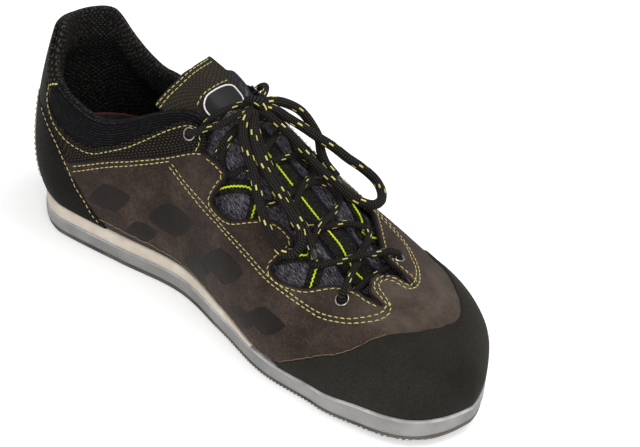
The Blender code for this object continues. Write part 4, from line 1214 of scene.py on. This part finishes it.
def make_footbed_rim():
    """The footbed's upturned edge along the heel and the waist, with a coloured line on top."""
    station = np.concatenate([np.linspace(HEEL_END, HEEL_TURN, 30), np.arange(-102, -8, 2.0)])[:, None]
    high = girth_at(station, RIM_HEEL - RIM_DROP * ease((station + 75) / 60))
    girth = high * shares(10, 0.1, low=False)
    patches, lines = [], []
    for side in SIDES:
        inside = -wall_at(station, girth / free_edge(station, side)) - 0.1
        patches.append(patch(station, side, girth, inside, inside - 1.8))
        lines.append(spaced(skin(station[:, 0], side, high[:, 0], inside[:, -1] - 1.0), 1.0))
    layer("footbed_rim", patches, FOOTBED, 0.5, 0.5)
    tubes("footbed_line", lines, 0.55, 8, RED)


# Tongue

STRAP_EDGES, LABEL_EDGES, PATCH_EDGE = (81.0, 86.0), (67.0, 81.5), 77.6
# Stations of the tongue's back, of the front of its leather and of the label's ends
TONGUE_BACK, PATCH_FRONT, LABEL_ENDS = -53, -21, (-32.5, -19.5)
# Station and angle of the label's border
LABEL_BORDER = (
    (-30.6, -19.5), (-31.6, -15), (-31.8, -6), (-31.6, 4), (-30.4, 7), (-27.5, 7.6), (-23.5, 7.2), (-21, 5),
    (-20.3, -4), (-20.6, -14), (-22, -20), (-25, -22), (-28.5, -21.8), (-30.6, -19.5),
)


def tongue_top(station, side, girth):
    """Lift of the tongue's outside."""
    edge = by_side(side, *(column(TONGUE_EDGE, name, station) for name in SIDES.values()))
    inside = np.clip((girth - edge) / 30, 0, 1)
    bar = np.clip((station - 58) / 14, 0, 1)
    puffed = TONGUE_PUFF * ease((-22 - station) / 22)
    wing = TONGUE_WING * ease((84 - girth) / 14) * ease((-18 - station) / 18) * (np.asarray(side) > 0)
    return -TONGUE_DROP + TONGUE_CROWN * inside * (1 - bar) - TONGUE_DIP * ease(bar) + puffed + wing


def flare(station):
    """How far the tongue's edges reach out at its top."""
    return TONGUE_FLARE * ease((-34 - station) / 14)


def over_tongue(station, angle, lift):
    """A line over the tongue, with its outward ways."""
    side, girth = sided(angle)
    return seam(station, side, girth, tongue_top(station, side, girth) + lift)


def on_tongue(station, edges, rows, base, thick, start=None):
    """Patches of a layer over the tongue between a medial and a lateral girth. With a start, the layer begins
    that far ahead of the tongue's rim."""
    patches = []
    for side, edge in zip(SIDES, edges):
        girth = edge + (90 - edge) * rows + 0 * station
        grid = station + 0 * girth
        if start is not None:
            rim = np.interp(side * (90 - girth), TONGUE_RIM["angle"], TONGUE_RIM["station"]) + start
            grid = grid + np.clip(grid / station[0], 0, None) * (rim - station[0])
        bottom = tongue_top(grid, side, girth) + base
        patches.append(patch(grid, side, girth, bottom + thick, bottom, u=grid, v=side * (90 - girth)))
    return patches


def make_tongue():
    every = [np.linspace(TONGUE_BACK, -46, 12), np.arange(-44.5, 82, 1.5), np.linspace(TOE_TURN, TOE_END, 24)]
    station = np.concatenate(every)[:, None]
    medial, lateral = (column(TONGUE_EDGE, name, station) for name in SIDES.values())
    edges = medial - flare(station), lateral - 0.5 * flare(station)
    thick = TONGUE + TONGUE_TOP * np.clip((-20 - station) / 20, 0, 1)
    patches = on_tongue(station, edges, shares(38, 0.1, high=False), -thick, thick, start=0.0)
    for own in patches:
        middle = np.abs(own["v"] + 2.5)
        satin = ease((middle - 5) / 1.5) * ease((10.5 - middle) / 1.5) * (own["station"] > -6)
        # The satin bands beside the strap are dark navy; the tongue's top behind station -26 is darkened too,
        # partly for its darker mesh and partly as painted shade.
        own["tint_and_painted_light"] = np.maximum(satin, 0.7 * ease((-26 - own["station"]) / 8))
        bed = 0.9 * np.sin(own["station"] / 5.5) * ease((middle - 13) / 8) * ease((own["station"] + 10) / 10)
        own["top"] = own["top"] + 0.35 * bed
    made = layer("tongue_padding", patches, TONGUE_MESH, 1.8, 1.8)
    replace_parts(made, "tongue")
    station = np.linspace(TONGUE_BACK, PATCH_FRONT, 44)[:, None]
    edges = column(TONGUE_EDGE, "medial", station) + 1.5 - flare(station), PATCH_EDGE
    patches = on_tongue(station, edges, shares(26, 0.06, high=False), -0.3, 1.2, start=0.4)
    for own in patches:
        own["tint_and_painted_light"] = 1.0
    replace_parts(layer("tongue_leather", patches, LEATHER, 0.7), "tongue_patch")
    station = np.linspace(*LABEL_ENDS, 16)[:, None]
    layer("tongue_label", on_tongue(station, LABEL_EDGES, shares(14, 0.08, high=False), 0.8, 0.5), LABEL, 0.3)
    border, _ = over_tongue(*curve(LABEL_BORDER, 0.6).T, 1.4)
    tubes("tongue_label_border", [border], 0.4, 8, WHITE)
    station = np.concatenate([[-8.0, -7.9, -7.6], np.arange(-7, 81, 1.5)])[:, None]
    patches = on_tongue(station, STRAP_EDGES, shares(8, 0.12, high=False), -0.2, 1.2)
    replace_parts(layer("tongue_strap_webbing", patches, WEBBING_BLACK, 0.5), "tongue_strap")


# Eyelets and webbing loops


def make_eyelets():
    turn = np.linspace(0, 2 * np.pi, 33)[:-1, None]
    middle, half = (EYELET_HOLE + EYELET_FLANGE) / 2, (EYELET_FLANGE - EYELET_HOLE) / 2
    bends = np.linspace(0, np.pi, 9)
    roll = [(middle + half * math.cos(bend), EYELET_ROLL * math.sin(bend)) for bend in bends]
    hole_shades = []
    for name, (station, angle, base) in EYELETS.items():
        centre, up = seam(station, *sided(angle), base)
        one = unit(np.cross(up, (0, 1, 0)))
        ring = np.cos(turn) * one + np.sin(turn) * np.cross(up, one)
        depth = -base - WALL - 0.3
        profile = [*roll, (EYELET_HOLE, depth), (EYELET_BARREL, depth), (EYELET_BARREL, -0.1)]
        points = np.vstack([centre + radius * ring + up * height for radius, height in profile])
        made = build(f"eyelet_{name}_ring", points, bands(len(profile), len(turn), closed=True), METAL)
        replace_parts(made, "eyelet_" + name)
        # Dark discs set in the eyelets' holes: painted shade for the holes' insides.
        hole_shades.append(np.stack([centre - up * 0.4, centre + up * 0.15]))
    tubes("eyelet_hole_shades", hole_shades, EYELET_HOLE + 0.1, 24, BLACK)


def ribbon(line, up, width, thick):
    """Points, faces and UV of a flat strip with rounded edges along a line."""
    half, deep = width / 2, thick / 2
    flat = half - deep * 0.3
    profile = [(-flat, -deep), (flat, -deep), (half, 0), (flat, deep)]
    profile += [(x, deep) for x in np.linspace(half * 0.6, -half * 0.6, 5)] + [(-flat, deep), (-half, 0)]
    profile = np.array(profile)
    points = line[:, None] + aside(line, up)[:, None] * profile[:, :1] + up[:, None] * profile[:, 1:]
    uv = np.stack(np.broadcast_arrays(run_length(line)[:, None], profile[:, 0]), -1)
    size = len(profile)
    end = (len(line) - 1) * size
    faces = [*bands(len(line), size), np.arange(size)[::-1], end + np.arange(size)]
    return points.reshape(-1, 3), faces, uv.reshape(-1, 2)


def zigzag(line, up, reach, pitch, height):
    """A zigzag of thread along the middle of a strip."""
    centre, up = stepped(line, up, pitch)
    sign = np.where(np.arange(len(centre)) % 2, 1.0, -1.0)[:, None]
    return spaced(centre + aside(centre, up) * sign * reach + up * height, 0.5)


def make_loops():
    """Webbing loops, and the lime thread on them and on the strap."""
    lime = []
    for name, row in LOOPS.items():
        line, up = over_tongue(*curve(row, 0.8).T, 0.9)
        points, faces, uv = ribbon(line, up, WEBBING, 1.1)
        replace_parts(build("webbing_" + name, points, faces, WEBBING_BLACK, uv=uv), "webbing_loop_" + name)
        lime.append(zigzag(line, up, 0.36, 1.0, 0.75))
    for first, last in ((-6, 25), (29, 45), (49, 79)):
        station = np.arange(first, last, 1.0)
        lime.append(zigzag(*over_tongue(station, np.full_like(station, -2.4), 0.55), 0.28, 0.9, 0.6))
    tubes("lime_threads", lime, 0.42, 6, LIME)


# Lace

# Routes are station, angle from the ridge and lift, as in the CAD source
STRANDS = (
    (
        (80, -30.2, -2.5), (79.8, -29.6, 2.2), (78.2, -22.5, 3.0), (76, -16, 1.8), (71.5, -4.2, 0.2),
        (63.5, 8.5, -0.2), (60.5, 12, -0.2), (57.5, 12.5, -0.2), (53, 7.5, -0.3), (49.5, -1, -0.3),
        (46.5, -9, -0.3), (43.5, -16, -0.3), (41, -20.5, -0.5), (38.5, -20.5, -0.5), (34, -14, -0.3),
        (28, -1.5, -0.3), (22.5, 11, -0.3), (19, 15, -0.2), (15.5, 16, -0.2), (12.8, 12.5, -0.2),
        (11.5, 2, -0.3), (9.5, -10, -0.3), (6.5, -20.5, -0.3), (3, -26.5, -0.3), (-0.5, -33.5, -2.2),
        (-4.5, -38.5, -3.6), (-9, -37, -3.4), (-10.5, -29, -1.6), (-9.5, -18, -0.3), (-10, -6, -0.3),
        (-12, 8, -0.3), (-13.5, 18.5, -0.3), (-14.5, 24, -1.5),
    ),
    (
        (78.5, 13.2, -2.5), (78.3, 12.9, 2.2), (76.5, 10.5, 3.2), (74, 6.5, 2.4), (69.5, -3.5, 0.0),
        (63.5, -18.5, -0.2), (61, -24, -0.2), (58.5, -26, -0.2), (55.5, -24.5, -0.2), (50, -15.5, -0.3),
        (47.5, -6, -0.3), (45, 3, -0.3), (41.5, 10.5, -0.3), (38, 14, -0.5), (34, 14.5, -0.5),
        (30, 13, -0.3), (27.5, 8, -0.3), (27.5, -3, -0.3), (26, -19, -0.3), (23.5, -25, -0.2),
        (20, -28, -0.2), (16.5, -28.5, -0.2), (13, -26, -0.2), (8, -15, -0.3), (3.5, -2, -0.3),
        (-1, 11, -0.3), (-3.5, 17, -0.5), (-6.3, 17.5, -0.5), (-8.5, 10, -0.3), (-10, 0, -0.3),
        (-10.5, -10.5, -0.3), (-11.2, -19.5, -0.3), (-12, -28, -0.3), (-13.2, -34, -1.5),
    ),
)
# Whether the first strand lies on top where the two cross, from the toe back
FIRST_ON_TOP = (False, False, True, False, True, False)
BAR = ((80.4, -30.2, -2.5), (80, -22, -4.9), (79.2, -5, -5.2), (78.5, 6, -4.9), (78.9, 13.2, -2.5))
TOP_STRANDS = (
    (
        (-30, -38.8, -2.5), (-29.6, -38.3, 3.0), (-25, -34, 4.2), (-20, -27, 4.4), (-15.5, -19.5, 4.6),
        (-13.3, -10, 5.2), (-13, 0.5, 6.0), (-16, 8, 6.6), (-21, 16, 6.6), (-26, 23, 5.4), (-29.6, 27.6, 3.2),
        (-30, 28, -2.5),
    ),
    (
        (-14, 1, 5.2), (-16.5, -4, 5.0), (-18.5, -11, 4.2), (-21, -20, 3.4), (-24, -29, 1.0),
        (-26.5, -35, -2.5),
    ),
)
BOW_LOOPS = {
    "lace_bow_medial": (
        (-11.5, -3, 7.4), (-9, -9.5, 7.2), (-4.5, -14, 6.4), (2, -17.5, 6.0), (10, -21.5, 5.8),
        (17.5, -26.5, 5.6), (24, -30.5, 5.4), (31, -34, 5.0), (39, -36, 4.6), (45.5, -35.5, 4.4),
        (49.5, -31.5, 4.4), (49.5, -26, 4.6), (46, -21.5, 5.0), (39.5, -20, 5.4), (32.5, -19, 5.6),
        (24, -18, 5.8), (15.5, -16.5, 5.8), (6, -14, 6.0), (-3, -9.5, 6.4), (-10.5, -2, 7.4),
    ),
    "lace_bow_lateral": (
        (-12, 2, 7.6), (-7.5, 8, 8.0), (-1.5, 10.5, 9.2), (4.5, 13.5, 10.2), (10.5, 16.5, 11),
        (17.5, 20.5, 12), (25, 23.5, 12.4), (31, 29, 12.4), (37, 32, 12), (45, 29, 11), (50, 25, 9),
        (51, 19.5, 7.4), (46.5, 15, 6.2), (40, 12.5, 5.8), (31, 11, 5.6), (23, 9.5, 5.6), (13, 8.5, 5.8),
        (4, 7.5, 6.0), (-4, 4.5, 6.6), (-10.5, 1, 7.2),
    ),
}
BOW_ENDS = {
    "lace_end_medial": (
        (-10, -1.5, 5.0), (-4, -6, 4.6), (3, -9, 4.2), (9, -11, 3.8), (17, -13, 3.6), (25, -14.5, 3.4),
        (34, -16, 3.4), (42.5, -17, 3.2), (48.5, -19, 3.0), (54.5, -22, 2.6),
    ),
    "lace_end_lateral": (
        (-12.5, 3, 8.6), (-11, 9.5, 9.8), (-8, 14.5, 11), (-3.5, 18.5, 12), (3.5, 20.5, 11), (10, 21.5, 8.8),
        (15.5, 19.5, 6.2), (22.5, 16.2, 5.4), (30, 17, 4.6),
    ),
}
KNOT, KNOT_RADIUS, KNOT_REACH = (-12.4, 0.5, 6.4), 3.9, 2.6
AGLET_RADIUS = 1.6
# Rise of the strand on top and fall of the other at a crossing, their run, and the gap that counts as one
CROSSING_RISE, CROSSING_FALL, CROSSING_RUN, CROSSING_GAP = 2.3, 1.2, 5.5, LACE * 0.75


def route(rows):
    station, angle, lift = np.array(rows, float).T
    return curve(skin(station, *sided(angle), lift), LACE_STEP)


def instep_ways(line):
    """Rough outward ways of a line that runs over the instep."""
    return unit(np.stack([0.35 + 0 * line[:, 0], 0.75 * (line[:, 1] + 3) / 40, np.ones(len(line))], 1))


def crossing_lifts(one, two):
    """Raises one strand and lowers the other where the two cross."""
    ways = instep_ways(one), instep_ways(two)
    gap = np.linalg.norm(one[:, None] - two[None], axis=2)
    near, crossing, k = gap.min(1), 0, 0
    while k < len(one):
        if near[k] < CROSSING_GAP:
            stop = k
            while stop < len(one) and near[stop] < CROSSING_GAP:
                stop += 1
            first = k + int(near[k:stop].argmin())
            on_top = FIRST_ON_TOP[crossing % len(FIRST_ON_TOP)]
            places = (one, ways[0], first, on_top), (two, ways[1], int(gap[first].argmin()), not on_top)
            for line, way, at, raised in places:
                along = np.abs(np.arange(len(line)) - at) * LACE_STEP
                rise = CROSSING_RISE if raised else -CROSSING_FALL
                line += way * (rise * np.exp(-(along / CROSSING_RUN) ** 2))[:, None]
            crossing += 1
            k = stop + 8
        k += 1
    return one, two


def lace(name, lines, thick=LACE):
    return tubes(name, lines, thick / 2, LACE_SIDES, BRAID)


def declare(piece, node):
    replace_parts(piece, node)


def make_lace():
    strands = crossing_lifts(*(route(rows) for rows in STRANDS))
    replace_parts(lace("lace_strands", strands, TAUT), "lace_crossings")
    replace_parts(lace("lace_bar_cord", [route(BAR)], TAUT), "lace_bar")
    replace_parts(lace("lace_top_cord", [route(rows) for rows in TOP_STRANDS], TAUT), "lace_top_bar")
    for node, rows in BOW_LOOPS.items():
        line = route(rows)
        declare(lace(node + "_loop", [line]), node)
    for node, rows in BOW_ENDS.items():
        line = route(rows)
        ahead = line[-1] - line[-12]
        tip = spaced(np.vstack([line[-1] - ahead * 0.1, line[-1] + ahead * 0.7]), 0.5)
        taper = AGLET_RADIUS * np.sqrt(np.clip(1.02 - np.linspace(0, 1, len(tip)) ** 6, 0.05, 1))
        aglet = tubes(node.replace("end", "tip") + "_aglet", [tip], taper, LACE_SIDES, AGLET)
        declare(lace(node + "_cord", [line]), node)
    station, angle, lift = KNOT
    centre, up = seam(station, *sided(angle), lift)
    along = unit(np.cross((0, 1, 0), up))
    turn = np.radians(np.linspace(-150, 150, 15))[:, None]
    wrap = centre + KNOT_RADIUS * (np.cos(turn) * up + np.sin(turn) * along)
    wrap = wrap + np.cross(up, along) * KNOT_REACH * np.sin(turn * 0.6)
    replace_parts(lace("lace_knot_wrap", [curve(wrap, LACE_STEP)]), "lace_knot")


# Stage and camera

# Place, size and power of the lamps, in metres and watts
LAMPS = {
    "key": ((0.3, 0.25, 1.0), 0.7, 5.8),
    "fill": ((-0.7, -0.7, 0.7), 0.9, 1.6),
    "front": ((0.7, -0.6, 0.5), 0.6, 4.8),
}
LAMP_TARGET = Vector((0.02, 0.0, 0.04))
FLOOR_REACH, FLOOR_TONE, FLOOR_GLOW, SKY_STRENGTH = 20, 0.85, 0.35, 0.55
# Viewing angle of the photograph
AZIMUTH, ELEVATION, ROLL = 38.43, 30.90, 6.16
DISTANCE, LENS, SENSOR = 900.0, 101.4, 36.0
TARGET = np.array((20.18, 23.13, 42.96))


def make_stage():
    glow = {"Emission_Color": rgba(1.0), "Emission_Strength": FLOOR_GLOW}
    mesh = bpy.data.meshes.new("floor")
    corners = [(x * FLOOR_REACH, y * FLOOR_REACH, 0) for x, y in ((-1, -1), (1, -1), (1, 1), (-1, 1))]
    mesh.from_pydata(corners, [], [(0, 1, 2, 3)])
    mesh.materials.append(Finish("floor", 0.9, Base_Color=rgba(FLOOR_TONE), **glow).material)
    made = bpy.data.objects.new("floor", mesh)
    scene = bpy.context.scene
    scene.collection.objects.link(made)
    world = bpy.data.worlds.new("studio")
    world.use_nodes = True
    sky = world.node_tree.nodes["Background"].inputs
    sky["Color"].default_value, sky["Strength"].default_value = rgba(1.0), SKY_STRENGTH
    scene.world = world
    scene.view_settings.view_transform = "Standard"
    for name, (place, size, power) in LAMPS.items():
        data = bpy.data.lights.new(name, "AREA")
        data.size, data.energy = size, power
        lamp = bpy.data.objects.new(name, data)
        lamp.location = place
        lamp.rotation_euler = (LAMP_TARGET - Vector(place)).to_track_quat("-Z", "Y").to_euler()
        scene.collection.objects.link(lamp)


def make_camera():
    a, e, r = np.radians((AZIMUTH, ELEVATION, ROLL))
    back = Vector((math.sin(a) * math.cos(e), -math.cos(a) * math.cos(e), math.sin(e)))
    right = Vector((math.cos(a), math.sin(a), 0))
    up = back.cross(right)
    right, up = right * math.cos(r) + up * math.sin(r), up * math.cos(r) - right * math.sin(r)
    data = bpy.data.cameras.new("camera")
    data.lens, data.sensor_width = LENS, SENSOR
    data.clip_start, data.clip_end = 0.05, 20
    made = bpy.data.objects.new("camera", data)
    place = Vector((TARGET + SHIFT) * MM) + back * DISTANCE * MM
    made.matrix_world = Matrix.Translation(place) @ Matrix((right, up, back)).transposed().to_4x4()
    bpy.context.scene.collection.objects.link(made)
    bpy.context.scene.camera = made


make_camera()
make_stage()
make_lace()
make_upper()
make_nubuck()
make_toe_cap()
make_counter()
make_panel()
make_stitches()
make_edges()
make_sole()
make_footbed_rim()
make_tongue()
make_eyelets()
make_loops()
